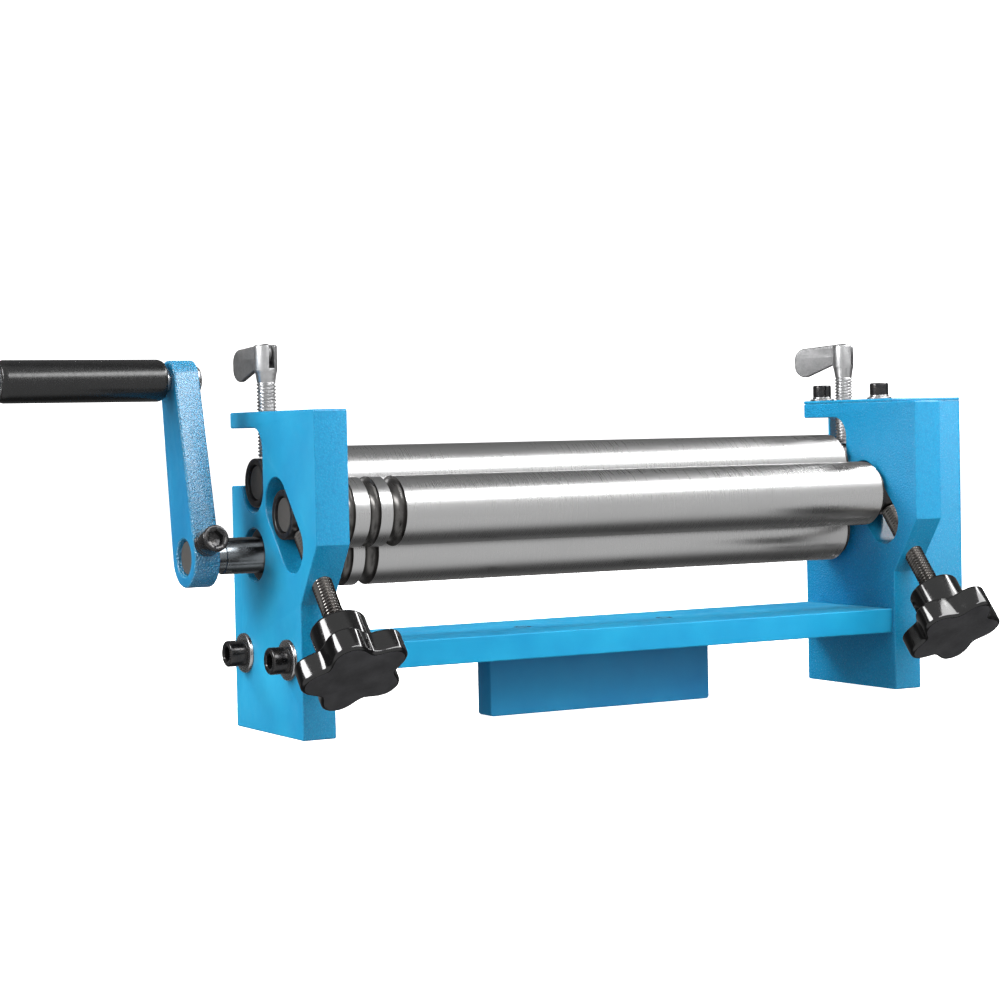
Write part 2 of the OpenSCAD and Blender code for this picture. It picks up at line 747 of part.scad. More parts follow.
// Places a shape drawn along Z on the crank's screw: Z points out of the crank's front side
module on_crank_screw() {
    translate([-crank_mid, pinch_y, lower_z]) rotate([-screw_angle, 0, 0])
        translate([0, 0, crank_screw_up]) rotate([90, 0, 0]) children();
}
module crank_arm() {
    color(paint) difference() {
        along_x(-crank_out) linear_extrude(crank_t) difference() {
            translate([pinch_y, lower_z]) rotate(-crank_lean)
                tapered_link(crank_len, crank_low_r, crank_top_r);
            translate([pinch_y, lower_z]) circle(r = journal_d / 2 + fix_clear);
            translate([handle_y, handle_z]) circle(r = handle_bolt_d / 2 + fix_clear);
        }
        on_crank_screw() translate([0, 0, flat_dist]) cylinder(r = bolt_d / 2 + fix_clear, h = deep);
    }
}
module crank_screw() {
    seat = crank_low_r + washer_t + spring_washer_t;
    tip = bolt_d / 2 - crank_tip_d / 2;
    color(black_oxide) on_crank_screw() {
        translate([0, 0, seat])
            socket_screw(bolt_d, seat - flat_dist - tip - fix_clear, bolt_head_d, bolt_head_h, bolt_hex);
        translate([0, 0, flat_dist + fix_clear]) cylinder(r = crank_tip_d / 2, h = 2 * tip);
    }
}
module crank_washers() {
    color(zinc) on_crank_screw() translate([0, 0, crank_low_r]) {
        flat_ring(bolt_head_d / 2, bolt_d / 2 + fix_clear, washer_t);
        translate([0, 0, washer_t]) difference() {
            flat_ring(bolt_head_d / 2, bolt_d / 2 + fix_clear, spring_washer_t);
            translate([0, -spring_gap / 2, -over])
                cube([bolt_head_d, spring_gap, spring_washer_t + 2 * over]);
        }
    }
}

// Handle, drawn along Z from the crank's outer face outwards
module on_handle() { translate([-crank_out, handle_y, handle_z]) rotate([0, -90, 0]) children(); }

module handle_bolt() {
    head_low = shoulder_t + slide_clear + grip_len - head_sink - handle_head_h;
    head_top = head_low + handle_head_h;
    rivet_end = -crank_t - rivet_h;
    shank_r = handle_bolt_d / 2;
    head_r = handle_head_d / 2;
    chamfer = rivet_h / 2;
    color(zinc) on_handle() difference() {
        rotate_extrude() polygon([
            [0, rivet_end], [shank_r - chamfer, rivet_end], [shank_r, rivet_end + chamfer],
            [shank_r, 0], [shoulder_d / 2, 0], [shoulder_d / 2, shoulder_t], [shank_r, shoulder_t],
            [shank_r, head_low], [head_r, head_low], [head_r, head_top - chamfer],
            [head_r - chamfer, head_top], [0, head_top]
        ]);
        translate([0, 0, head_low + handle_head_h / 2]) cylinder(d = bolt_hex, h = handle_head_h, $fn = 6);
    }
}
module handle_grip() {
    recess = head_sink + handle_head_h + slide_clear;
    color(phenolic) on_handle() translate([0, 0, shoulder_t + slide_clear]) difference() {
        turned(grip_d / 2, grip_len, roll_chamfer * 2);
        translate([0, 0, -over]) cylinder(r = handle_bolt_d / 2 + run_clear, h = grip_len + 2 * over);
        translate([0, 0, grip_len - recess])
            cylinder(r = handle_head_d / 2 + slide_clear, h = recess + over);
    }
}

// Thumb screws

// Places a shape on the leaf's pin, with Z along the pin and X towards the leaf's end
module on_leaf_pin(side, turn) {
    translate([side * side_mid, pinch_y, leaf_pin_z]) rotate([0, 0, turn]) rotate([90, 0, 0]) children();
}
module thumb_screw(side, turn) {
    tip_r = thumb_d / 2 - roll_chamfer;
    neck_low_r = thumb_neck_low_d / 2;
    neck_top_r = thumb_neck_top_d / 2;
    head_r = thumb_head_d / 2;
    chamfer = head_r / 8;
    head_top = head_z + thumb_head_h;
    color(zinc) difference() {
        translate([side * side_mid, pinch_y, 0]) rotate_extrude() polygon([
            [0, thumb_tip_z], [tip_r, thumb_tip_z], [thumb_d / 2, thumb_tip_z + roll_chamfer],
            [thumb_d / 2, neck_z], [neck_low_r, neck_z], [neck_top_r, head_z], [head_r, head_z],
            [head_r, head_top - chamfer], [head_r - chamfer, head_top], [0, head_top]
        ]);
        translate([side * side_mid, pinch_y, leaf_pin_z - leaf_slot_depth]) rotate([0, 0, turn])
            translate([-thumb_head_d, -leaf_slot_w / 2, 0])
                cube([2 * thumb_head_d, leaf_slot_w, 2 * thumb_head_h]);
        on_leaf_pin(side, turn)
            cylinder(r = leaf_pin_d / 2 + fix_clear, h = 2 * thumb_head_d, center = true);
    }
}

// Flat outline round the pin that widens to an end with two round corners
module leaf_outline() {
    for (drop = [leaf_drop, leaf_low])
        rotate(-90 - atan2(drop, leaf_reach))
            tapered_link(norm([leaf_reach, drop]), leaf_root_r, leaf_end_r);
    translate([leaf_reach, -leaf_low]) square([leaf_end_r, leaf_end_flat]);
}
module leaf(side, turn) {
    color(zinc) on_leaf_pin(side, turn)
        translate([0, 0, -leaf_t / 2]) linear_extrude(leaf_t) difference() {
            leaf_outline();
            circle(r = leaf_pin_d / 2 + run_clear);
        }
}
module leaf_pin(side, turn) {
    color(zinc) on_leaf_pin(side, turn)
        cylinder(r = leaf_pin_d / 2, h = thumb_head_d - 2 * slide_clear, center = true);
}
module thumb_screw_left() { thumb_screw(-1, left_leaf_turn); }
module thumb_screw_right() { thumb_screw(1, right_leaf_turn); }
module leaf_left() { leaf(-1, left_leaf_turn); }
module leaf_right() { leaf(1, right_leaf_turn); }
module leaf_pin_left() { leaf_pin(-1, left_leaf_turn); }
module leaf_pin_right() { leaf_pin(1, right_leaf_turn); }

// Star knobs

module knob_screw(side) {
    color(dark_steel) down_slot(side * side_mid) translate([0, 0, knob_tip])
        turned(knob_screw_d / 2, knob_end - knob_cap_t - knob_tip, roll_chamfer);
}

// Outline whose radius falls and rises once for each lobe, with valleys narrower than the lobes
module star_outline() {
    steps = 14 * knob_lobes;
    narrowing = 1.25;
    polygon([for (i = [0 : steps - 1]) let (a = 360 * i / steps, dip = (1 - cos(knob_lobes * a)) / 2)
        (knob_d / 2 - knob_valley * pow(dip, narrowing)) * [cos(a), sin(a)]]);
}
module star_knob(side, turn) {
    color(phenolic) down_slot(side * side_mid) difference() {
        union() {
            translate([0, 0, knob_reach]) {
                cylinder(r1 = knob_hub_d / 2 - roll_chamfer, r2 = knob_hub_d / 2, h = roll_chamfer);
                translate([0, 0, roll_chamfer]) cylinder(r = knob_hub_d / 2, h = knob_hub_h);
            }
            translate([0, 0, knob_reach + knob_hub_h])
                rotate(turn) linear_extrude(knob_star_h) star_outline();
        }
        cylinder(r = knob_screw_d / 2 + fix_clear, h = knob_end - knob_cap_t + fix_clear);
    }
}
module knob_screw_left() { knob_screw(-1); }
module knob_screw_right() { knob_screw(1); }
module star_knob_left() { star_knob(-1, left_knob_turn); }
module star_knob_right() { star_knob(1, right_knob_turn); }

left_frame();
right_frame();
crossbar();
vise_bar();
vise_bar_screws();
frame_bolts();
frame_washers();
gear_cover();
cover_screws();
cover_washers();
lower_bush_left();
lower_bush_right();
upper_bush_left();
upper_bush_right();
front_bush_left();
front_bush_right();
lower_roll();
upper_roll();
front_roll();
lower_gear();
upper_gear();
lower_gear_key();
upper_gear_key();
lower_gear_ring();
upper_gear_ring();
crank_arm();
crank_screw();
crank_washers();
handle_bolt();
handle_grip();
thumb_screw_left();
thumb_screw_right();
leaf_left();
leaf_right();
leaf_pin_left();
leaf_pin_right();
knob_screw_left();
knob_screw_right();
star_knob_left();
star_knob_right();
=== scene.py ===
"""Looks of the slip roll machine: surfaces, finishes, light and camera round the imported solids.

Sizes are in millimetres in the solids' own frame: X along the rolls with the crank at the left,
Y to the back, Z up, and the origin on the bench. Points are scaled to metres as a mesh is made.
"""
import math

import bmesh
import bpy
import numpy as np
from mathutils import Matrix, Vector
from mathutils.geometry import tessellate_polygon


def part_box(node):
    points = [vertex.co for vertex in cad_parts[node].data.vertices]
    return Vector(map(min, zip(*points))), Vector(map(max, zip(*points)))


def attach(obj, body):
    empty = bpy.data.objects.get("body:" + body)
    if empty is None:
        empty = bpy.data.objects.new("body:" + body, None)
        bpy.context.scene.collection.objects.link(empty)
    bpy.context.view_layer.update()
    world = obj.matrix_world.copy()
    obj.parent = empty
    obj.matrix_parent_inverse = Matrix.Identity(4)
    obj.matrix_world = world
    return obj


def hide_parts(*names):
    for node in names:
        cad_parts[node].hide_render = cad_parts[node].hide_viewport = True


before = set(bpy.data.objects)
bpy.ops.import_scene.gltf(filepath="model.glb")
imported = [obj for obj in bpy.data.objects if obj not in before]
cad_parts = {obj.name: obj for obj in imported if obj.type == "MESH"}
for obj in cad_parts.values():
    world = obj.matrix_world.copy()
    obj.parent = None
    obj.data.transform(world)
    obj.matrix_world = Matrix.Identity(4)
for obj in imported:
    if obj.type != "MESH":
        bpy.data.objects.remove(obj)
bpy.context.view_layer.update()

MM = 0.001
TAU = 2 * math.pi
X, Y, Z = np.eye(3)

# Places taken from the solids


def node_box(node):
    """Lowest and highest corner of a solid, in millimetres."""
    low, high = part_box(node)
    return np.array(low) / MM, np.array(high) / MM


def node_middle(node):
    """Middle of a solid's box, in millimetres."""
    low, high = node_box(node)
    return (low + high) / 2


frame_low, frame_high = node_box("right_frame")
side_in, side_out = frame_low[0], frame_high[0]
side_mid = (side_in + side_out) / 2
frame_top = frame_high[2]
nose_y, back_y = frame_low[1], frame_high[1]
pinch_y, lower_z = node_middle("lower_bush_right")[1:]
upper_z = node_middle("upper_bush_right")[2]
front_y, front_z = node_middle("front_bush_right")[1:]
roll_r = (node_box("upper_roll")[1] - node_box("upper_roll")[0])[2] / 2
crank_out, crank_in = node_box("crank_arm")[0][0], node_box("crank_arm")[1][0]
crank_mid = (crank_out + crank_in) / 2
handle_y, handle_z = node_middle("handle_grip")[1:]
bar_z = node_middle("crossbar")[2]
SIDES = (("left", -1), ("right", 1))

# Sizes of the side frames

FOOT_FRONT = -36.6
CHIN_Z = 85.8
THROAT_Z = 59.2
ARM_THICK = 7.3
SEAT_DROP = 2.1
HORN_RISE = 0.6
SLOT_R = 11.4
NOTCH_CORNER_R = 10.0
SLOT_ANGLE = math.radians(50)
SLOT_LOW = 18.3
SLOT_SPARE = 6.7
LOWER_BORE_R = 12.0
BOLT_R = 3.95
FRAME_EDGE = 0.5
FACE_REACH = 42.0
CASTING_CORNER = 1.0
HORN_CORNER = 0.55
# What keeps the notch's two corner arcs apart, so that they are drawn as two
ARC_GAP = 0.01
KNOB_HOLE_DEEP = 30.0
THUMB_FLARE = 0.5
THUMB_FLARE_UP = 0.3
# How far cutters start outside what they cut
CUT_OUT = 2.0
CUT_SPARE = 3.0
BAR_EDGE = 0.6
VISE_CORNER = 1.6

# Radial gaps: of pieces that fit, of screws in threads and in clear holes, and of washers

FIT = 0.05
SCREW_GAP = 0.08
HOLE_GAP = 0.35
WASHER_GAP = 0.02
CLAMP_GAP = 0.03

# Sizes of the rolls and bushes

ROLL_HALF = 152.5
ROLL_CHAMFER = 0.8
JOURNAL_R = 8.2
JOURNAL_OUT = 168.4
SHOULDER_OUT = 171.7
END_CHAMFER = 0.6
SEAT_R = 7.0
SEAT_CHAMFER = 0.4
STUB_CHAMFER = 0.8
STUB_GROOVE_GAP = 2.2
STUB_GROOVE_WIDE = 3.6
STUB_GROOVE_DEEP = 0.5
STUB_GROOVE_SLOPE = 0.2
# Depths under the surface from which a stretch counts as a journal's end and as a groove
END_DEPTH = 2.0
GROOVE_DEPTH = 0.25
# Middle of each wire groove from the roll's left face, and its width
GROOVES = ((9.1, 4.3), (21.2, 5.5), (33.3, 7.0))
BUSH_R = 11.1
BUSH_BORE_R = 8.25
FLANGE_R = 14.0
FLANGE_THICK = 1.7
BUSH_PLAY = 0.3
BUSH_SUNK = 1.0
LOWER_BUSH_SUNK = 3.0

# Sizes of the screws

THREAD_PITCH = 1.5875
THREAD_DEPTH = 0.86
THREAD_STEEP = 1.25
THREAD_CREST = 0.12
ROWS_PER_TURN = 10
KNOB_SCREW_R = 4.75
THUMB_R = 4.55
SMALL_SCREW_R = 3.0
WASHER_R = 9.0
WASHER_THICK = 1.6
SMALL_WASHER_R = 6.2
SMALL_WASHER_THICK = 0.9
SMALL_SPRING_THICK = 1.1
BOLT_HEAD_R = 6.0
BOLT_HEAD_TALL = 8.0
BOLT_HEX = 6.35
SMALL_HEAD_R = 4.7
SMALL_HEAD_TALL = 6.0
SMALL_HEX = 4.75
SPRING_GAP = 0.8
BOLT_LONG = 37.0
BOLT_CHAMFER = 1.0
# Length that a shank runs on into its head
SHANK_OVERLAP = 0.2

# Sizes of the star knobs, measured from the front roll's axis down the slot

KNOB_REACH = 61.5
KNOB_HUB_R = 12.5
KNOB_HUB_TALL = 16.8
KNOB_STAR_TALL = 11.3
KNOB_R = 24.6
KNOB_VALLEY = 6.3
KNOB_LOBES = 5
KNOB_CAP = 4.0
KNOB_UNDER_ROUND = 1.2
KNOB_TOP_ROUND = 1.6
KNOB_FACE_R = 6.0
KNOB_POWER = 1.25
KNOB_STEPS = 240
KNOB_TURNS = {"left": math.radians(46), "right": math.radians(10)}

slot_down = np.array([0.0, -math.cos(SLOT_ANGLE), -math.sin(SLOT_ANGLE)])
front_axis = np.array([0.0, front_y, front_z])


# Building surfaces

WELD_GAP = 0.002
SLIVER = 0.001


def seat(origin, along, across=None):
    """Maps local (across, third, along) points to the frame: local Z runs along, local X across."""
    along = np.asarray(along, float) / np.linalg.norm(along)
    if across is None:
        across = Y if abs(along[0]) > 0.9 else X
    across = np.asarray(across, float) - np.dot(across, along) * along
    across /= np.linalg.norm(across)
    basis = np.stack([across, np.cross(along, across), along])
    return lambda points: np.asarray(points, float) @ basis + np.asarray(origin, float)


def angles(count):
    """A full turn in even steps."""
    return np.arange(count) / count * TAU


def unit(a):
    """Unit vectors at angles a."""
    return np.stack([np.cos(a), np.sin(a)], 1)


def closed(outline):
    """An outline with its first point repeated at the end."""
    return np.concatenate([outline, outline[:1]])


def stacked(rows, a):
    """Rings of points (r cos a, r sin a, height), one for each row of a height and a radius or radii."""
    return np.stack([np.stack([r * np.cos(a), r * np.sin(a), np.full(len(a), h)], 1) for h, r in rows])


def filleted(corners, steps=6):
    """Outline through corners (x, y, radius): a corner with a radius becomes an arc that touches
    both of its sides, at a distance of radius * tan(half the turning angle) from the corner."""
    spots = np.array([c[:2] for c in corners], float)
    out = []
    for i, (x, y, radius) in enumerate(corners):
        here = np.array([x, y], float)
        if radius <= 0:
            out.append(here[None])
            continue
        back = spots[i - 1] - here
        ahead = spots[(i + 1) % len(corners)] - here
        back /= np.linalg.norm(back)
        ahead /= np.linalg.norm(ahead)
        half = math.acos(np.clip(np.dot(back, ahead), -1, 1)) / 2
        middle = (back + ahead) / np.linalg.norm(back + ahead)
        centre = here + middle * radius / math.sin(half)
        start = here + back * radius / math.tan(half) - centre
        end = here + ahead * radius / math.tan(half) - centre
        sweep = math.pi - 2 * half
        count = max(2, int(steps * sweep / (math.pi / 2)) + 1)
        t = np.linspace(0, 1, count)[:, None]
        arc = (np.sin((1 - t) * sweep) * start + np.sin(t * sweep) * end) / math.sin(sweep)
        out.append(centre + arc)
    return np.concatenate(out)


def ring(centre, radius, count=48):
    """Points of a circle."""
    return np.asarray(centre) + radius * unit(angles(count))


def slot_outline(low, high, radius, steps=24):
    """Outline of a round-ended slot between two centres."""
    low, high = np.asarray(low, float), np.asarray(high, float)
    angle = math.atan2(*(high - low)[::-1])
    cap = radius * unit(np.linspace(-math.pi / 2, math.pi / 2, steps) + angle)
    return np.concatenate([high + cap, low - cap])


def signed_area(loop):
    """Twice the area, positive when the loop runs counter-clockwise."""
    after = np.roll(loop, -1, 0)
    return float(np.sum(loop[:, 0] * after[:, 1] - loop[:, 1] * after[:, 0]))


def left_shift(loop, distance):
    """Each point of a closed loop moved to the left of its travel by distance, mitred at corners."""
    side = np.roll(loop, -1, 0) - loop
    side /= np.linalg.norm(side, axis=1)[:, None]
    left = np.stack([-side[:, 1], side[:, 0]], 1)
    middle = left + np.roll(left, 1, 0)
    middle /= np.maximum(np.sum(middle * left, 1), 0.3)[:, None]
    return loop + middle * distance


class Shell:
    """Gathers the surfaces of one piece, in millimetres, each with the number of its finish."""

    def __init__(self):
        self.points, self.faces, self.finish, self.count = [], [], [], 0

    def add(self, points, faces, finish):
        """Adds points and faces that index them."""
        self.points.append(points.reshape(-1, 3))
        self.faces += (np.asarray(faces) + self.count).tolist()
        self.finish += [finish] * len(faces)
        self.count += len(self.points[-1])

    def grid(self, points, finish=0):
        """Quads over points[i, j], with the last j joined to the first."""
        rows, cols = points.shape[:2]
        number = np.arange(rows * cols).reshape(rows, cols)
        number = np.concatenate([number, number[:, :1]], 1)
        quads = np.stack([number[:-1, :-1], number[:-1, 1:], number[1:, 1:], number[1:, :-1]], -1)
        self.add(points, quads.reshape(-1, 4), finish)

    def cap(self, rim, place):
        """Closes a ring of local points to its middle."""
        self.grid(place(np.stack([rim, np.broadcast_to(rim.mean(0), rim.shape)])))

    def lathe(self, profile, place, finish=0, turns=72):
        """A profile of (along, radius) carried round local Z: (r cos a, r sin a, along)."""
        self.grid(place(stacked(profile, angles(turns))), finish)

    def plate(self, loops, low, high, edge, place, finishes=(0, 0, 0), edge_steps=4):
        """A flat plate between two heights with rounded edges: the quarter round
        (edge (1 - cos t), edge (1 - sin t)) is carried round every loop, and the faces are filled.
        The finishes are those of the low face, the edge and the high face."""
        t = np.linspace(0, math.pi / 2, edge_steps)
        inset = np.concatenate([edge * (1 - np.sin(t)), edge * (1 - np.cos(t))])
        height = np.concatenate([low + edge * (1 - np.cos(t)), high - edge * (1 - np.sin(t))])
        low_loops, high_loops = [], []
        for i, loop in enumerate(loops):
            if (signed_area(loop) > 0) != (i == 0):
                loop = loop[::-1]
            rows = [np.column_stack([left_shift(loop, d), np.full(len(loop), h)])
                    for d, h in zip(inset, height)]
            self.grid(place(np.stack(rows)), finishes[1])
            low_loops.append(rows[0])
            high_loops.append(rows[-1])
        for rims, finish in ((low_loops, finishes[0]), (high_loops, finishes[2])):
            faces = tessellate_polygon([[Vector((*p[:2], 0)) for p in rim] for rim in rims])
            self.add(place(np.concatenate(rims)), faces, finish)

    def mesh(self, name, finishes):
        """The surfaces in one mesh, in metres: points that meet are welded and faces turned outwards."""
        mesh = bpy.data.meshes.new(name)
        mesh.from_pydata((np.concatenate(self.points) * MM).tolist(), [], self.faces)
        mesh.polygons.foreach_set("material_index", self.finish)
        made = bmesh.new()
        made.from_mesh(mesh)
        bmesh.ops.remove_doubles(made, verts=made.verts, dist=WELD_GAP * MM)
        bmesh.ops.dissolve_degenerate(made, edges=made.edges, dist=SLIVER * MM)
        bmesh.ops.recalc_face_normals(made, faces=made.faces)
        made.to_mesh(mesh)
        made.free()
        for finish in finishes:
            mesh.materials.append(finish)
        return mesh

    def piece(self, name, body, finishes, sharp=35, cutters=()):
        """The finished piece, riding on its body in place of the solid of its name."""
        piece = new_object(name + "_surface", self.mesh(name + "_surface", finishes))
        if cutters:
            cut_away(piece, cutters)
        shade(piece.data, sharp)
        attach(piece, body)
        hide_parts(name)


def new_object(name, data):
    """A new object in the scene."""
    made = bpy.data.objects.new(name, data)
    bpy.context.scene.collection.objects.link(made)
    return made


def shade(mesh, sharp):
    """Smooth shading with creases kept where faces meet at more than sharp degrees."""
    mesh.polygons.foreach_set("use_smooth", [True] * len(mesh.polygons))
    mesh.set_sharp_from_angle(angle=math.radians(sharp))
    mesh.update()


def cut_away(piece, cutters):
    """Cuts closed shells out of a piece; the cut faces take the piece's second finish."""
    for cutter in cutters:
        mesh = cutter.mesh("cutter", piece.data.materials)
        mesh.polygons.foreach_set("material_index", [1] * len(mesh.polygons))
        tool = new_object("cutter", mesh)
        cut = piece.modifiers.new("hole", "BOOLEAN")
        cut.operation = "DIFFERENCE"
        cut.solver = "EXACT"
        cut.object = tool
        bpy.context.view_layer.update()
        graph = bpy.context.evaluated_depsgraph_get()
        result = bpy.data.meshes.new_from_object(piece.evaluated_get(graph))
        piece.modifiers.clear()
        piece.data = result
        bpy.data.objects.remove(tool)


# Finishes


class Finish:
    """A node material in short form: each call adds a node and returns its output."""

    def __init__(self, name, colour, roughness, metallic=0.0, **sockets):
        self.material = bpy.data.materials.new(name)
        self.material.use_nodes = True
        self.tree = self.material.node_tree
        self.shader = self.tree.nodes["Principled BSDF"]
        self.shader.inputs["Base Color"].default_value = (*colour, 1)
        self.shader.inputs["Roughness"].default_value = roughness
        self.shader.inputs["Metallic"].default_value = metallic
        for socket, value in sockets.items():
            self.shader.inputs[socket.replace("_", " ")].default_value = value
        self.place = self.node("ShaderNodeTexCoord").outputs["Object"]

    def node(self, kind, settings=(), links=(), values=()):
        """A node with its settings, its linked inputs and its plain inputs."""
        made = self.tree.nodes.new(kind)
        for name, value in settings:
            setattr(made, name, value)
        for name, value in values:
            made.inputs[name].default_value = value
        for name, source in links:
            self.tree.links.new(source, made.inputs[name])
        return made

    def stretched(self, scale):
        """Object coordinates scaled along each axis."""
        return self.node("ShaderNodeMapping", links=[("Vector", self.place)],
                         values=[("Scale", scale)]).outputs["Vector"]

    def noise(self, scale, detail=3.0, rough=0.5, vector=None):
        """Soft noise from 0 to 1, with scale features to the metre."""
        values = [("Scale", scale), ("Detail", detail), ("Roughness", rough)]
        return self.node("ShaderNodeTexNoise", links=[("Vector", vector or self.place)],
                         values=values).outputs["Fac"]

    def cells(self, scale, smooth):
        """Distance from the middle of rounded cells."""
        return self.node("ShaderNodeTexVoronoi", settings=[("feature", "SMOOTH_F1")],
                         links=[("Vector", self.place)],
                         values=[("Scale", scale), ("Smoothness", smooth)]).outputs["Distance"]

    def spread(self, value, low, high, to_low=0.0, to_high=1.0):
        """A value moved from one range to another and held inside it."""
        return self.node("ShaderNodeMapRange", links=[("Value", value)],
                         values=[("From Min", low), ("From Max", high),
                                 ("To Min", to_low), ("To Max", to_high)]).outputs["Result"]

    def maths(self, operation, first, second):
        """Two values, or a value and a number, put together."""
        links = [(i, v) for i, v in enumerate((first, second)) if not isinstance(v, (int, float))]
        values = [(i, v) for i, v in enumerate((first, second)) if isinstance(v, (int, float))]
        return self.node("ShaderNodeMath", settings=[("operation", operation)],
                         links=links, values=values).outputs["Value"]

    def mix(self, amount, first, second):
        """Colour between two colours."""
        mixer = self.node("ShaderNodeMix", settings=[("data_type", "RGBA")], links=[("Factor", amount)])
        for socket, colour in ((6, first), (7, second)):
            if isinstance(colour, tuple):
                mixer.inputs[socket].default_value = (*colour, 1)
            else:
                self.tree.links.new(colour, mixer.inputs[socket])
        return mixer.outputs[2]

    def drive(self, socket, source):
        """Links an output to one of the shader's sockets."""
        self.tree.links.new(source, self.shader.inputs[socket])

    def bump(self, height, distance, strength=1.0):
        """Raises the surface by height times distance in millimetres, over any bump made before."""
        links = [("Height", height)]
        if self.shader.inputs["Normal"].links:
            links.append(("Normal", self.shader.inputs["Normal"].links[0].from_socket))
        made = self.node("ShaderNodeBump", links=links,
                         values=[("Distance", distance * MM), ("Strength", strength)])
        self.drive("Normal", made.outputs["Normal"])


# The enamel's two shades, and how much more of the room the crank's thick varnish mirrors
BLUE = (0.014, 0.312, 0.530)
BLUE_DEEP = (0.008, 0.225, 0.440)
VARNISH_IOR = 2.3


def enamel(tone):
    """The two shades darkened by a tone under 1: blue by tone, red and green by tone ^ 1.5, the navier
    hue the enamel takes in shade, so a tone under 1 is painted shade.
    """
    strong = tone ** 1.5
    return [(red * strong, green * strong, blue * tone) for red, green, blue in (BLUE, BLUE_DEEP)]


def smooth_paint(name, gloss, tone=1.0):
    """Sprayed blue enamel on machined faces: faint orange peel and slight clouding."""
    light, deep = enamel(tone)
    paint = Finish(name, light, 0.4, Specular_IOR_Level=gloss)
    clouds = paint.noise(28, 4)
    paint.drive("Base Color", paint.mix(paint.spread(clouds, 0.3, 0.75), light, deep))
    paint.drive("Roughness", paint.spread(paint.noise(160, 4), 0.3, 0.7, 0.32, 0.46))
    paint.bump(paint.noise(520, 2), 0.04, 0.5)
    paint.bump(paint.noise(2600, 2), 0.008, 0.4)
    return paint.material


def hammered_paint(name, gloss, depth, tone=1.0, coat=0.0):
    """The same enamel over a rough casting, with rounded dimples of about a millimetre and a coat
    of varnish if asked: the relief is 0.55 of the cells and 0.45 of a fine grain."""
    light, deep = enamel(tone)
    paint = Finish(name, light, 0.3, Specular_IOR_Level=gloss, Coat_Weight=coat, Coat_IOR=VARNISH_IOR,
                   Coat_Roughness=0.22)
    dimples = paint.cells(1100, 0.5)
    grain = paint.noise(1700, 3, 0.6)
    relief = paint.maths("ADD", paint.maths("MULTIPLY", dimples, 0.55),
                         paint.maths("MULTIPLY", grain, 0.45))
    shadow = paint.spread(relief, 0.28, 0.72)
    paint.drive("Base Color", paint.mix(shadow, light, deep))
    paint.drive("Roughness", paint.spread(grain, 0.3, 0.7, 0.18, 0.30))
    paint.bump(relief, depth)
    return paint.material


def ground_steel(name):
    """Bare ground steel: fine rings round the roll, long soft smears and a few darker marks."""
    steel = Finish(name, (0.60, 0.60, 0.60), 0.3, 1.0)
    rings = steel.noise(1.0, 3, 0.6, steel.stretched((2600, 20, 20)))
    smears = steel.noise(1.0, 4, 0.55, steel.stretched((14, 90, 90)))
    steel.drive("Base Color", steel.mix(steel.spread(smears, 0.3, 0.75),
                                        (0.61, 0.61, 0.61), (0.56, 0.56, 0.56)))
    steel.drive("Roughness", steel.maths("ADD", steel.spread(rings, 0.3, 0.7, 0.26, 0.30),
                                         steel.spread(smears, 0.3, 0.7, -0.01, 0.02)))
    steel.bump(rings, 0.0005, 0.4)
    return steel.material


def turned_steel(name, colour, roughness=0.3):
    """Turned steel faces with fine tool rings and a thin film of oil."""
    steel = Finish(name, colour, roughness, 1.0)
    marks = steel.noise(1.0, 3, 0.6, steel.stretched((2400, 200, 200)))
    steel.drive("Roughness", steel.spread(marks, 0.3, 0.7, roughness - 0.05, roughness + 0.07))
    steel.drive("Base Color", steel.mix(steel.spread(steel.noise(260, 4), 0.35, 0.7),
                                        colour, tuple(c * 0.78 for c in colour)))
    steel.bump(marks, 0.002, 0.5)
    return steel.material


def blackened(name, roughness=0.3):
    """Black oxide on steel: nearly black, oily, with brownish thin spots."""
    oxide = Finish(name, (0.028, 0.027, 0.028), roughness, 0.75, Coat_Weight=0.5, Coat_Roughness=0.15)
    spots = oxide.noise(420, 4, 0.6)
    oxide.drive("Base Color", oxide.mix(oxide.spread(spots, 0.45, 0.8),
                                        (0.024, 0.024, 0.026), (0.060, 0.054, 0.050)))
    oxide.drive("Roughness", oxide.spread(oxide.noise(1400, 3), 0.3, 0.7,
                                          roughness - 0.07, roughness + 0.12))
    oxide.bump(oxide.noise(1900, 3), 0.012, 0.6)
    return oxide.material


def zinc_plate(name, pale, cast=0.0):
    """Zinc of a given paleness with a faint grain; cast pieces get a duller, pitted skin."""
    zinc = Finish(name, (pale, pale, pale), 0.26, 1.0)
    grain = zinc.noise(1300, 4, 0.65)
    patches = zinc.noise(190, 4, 0.6)
    zinc.drive("Base Color", zinc.mix(zinc.spread(patches, 0.3, 0.75), (pale, pale, pale * 1.01),
                                      (pale * 0.72, pale * 0.73, pale * 0.74)))
    zinc.drive("Roughness", zinc.spread(grain, 0.3, 0.7, 0.18 + 0.24 * cast, 0.34 + 0.26 * cast))
    zinc.bump(grain, 0.003 + 0.012 * cast, 0.6)
    if cast:
        zinc.bump(zinc.noise(420, 3, 0.6), 0.03 * cast)
    return zinc.material


def moulded_black(name, tone, roughness, gloss):
    """Black moulded plastic of a given tone: a faint flow of the moulding in gloss and height."""
    plastic = Finish(name, (tone, tone, tone), roughness, 0.0, Specular_IOR_Level=gloss)
    flow = plastic.noise(90, 4, 0.6)
    plastic.drive("Base Color", plastic.mix(plastic.spread(flow, 0.3, 0.7),
                                            (tone * 0.8, tone * 0.8, tone * 0.85),
                                            (tone * 1.6, tone * 1.6, tone * 1.7)))
    plastic.drive("Roughness", plastic.spread(plastic.noise(700, 3), 0.3, 0.7,
                                              roughness - 0.04, roughness + 0.06))
    plastic.bump(plastic.noise(240, 2), 0.02, 0.35)
    return plastic.material


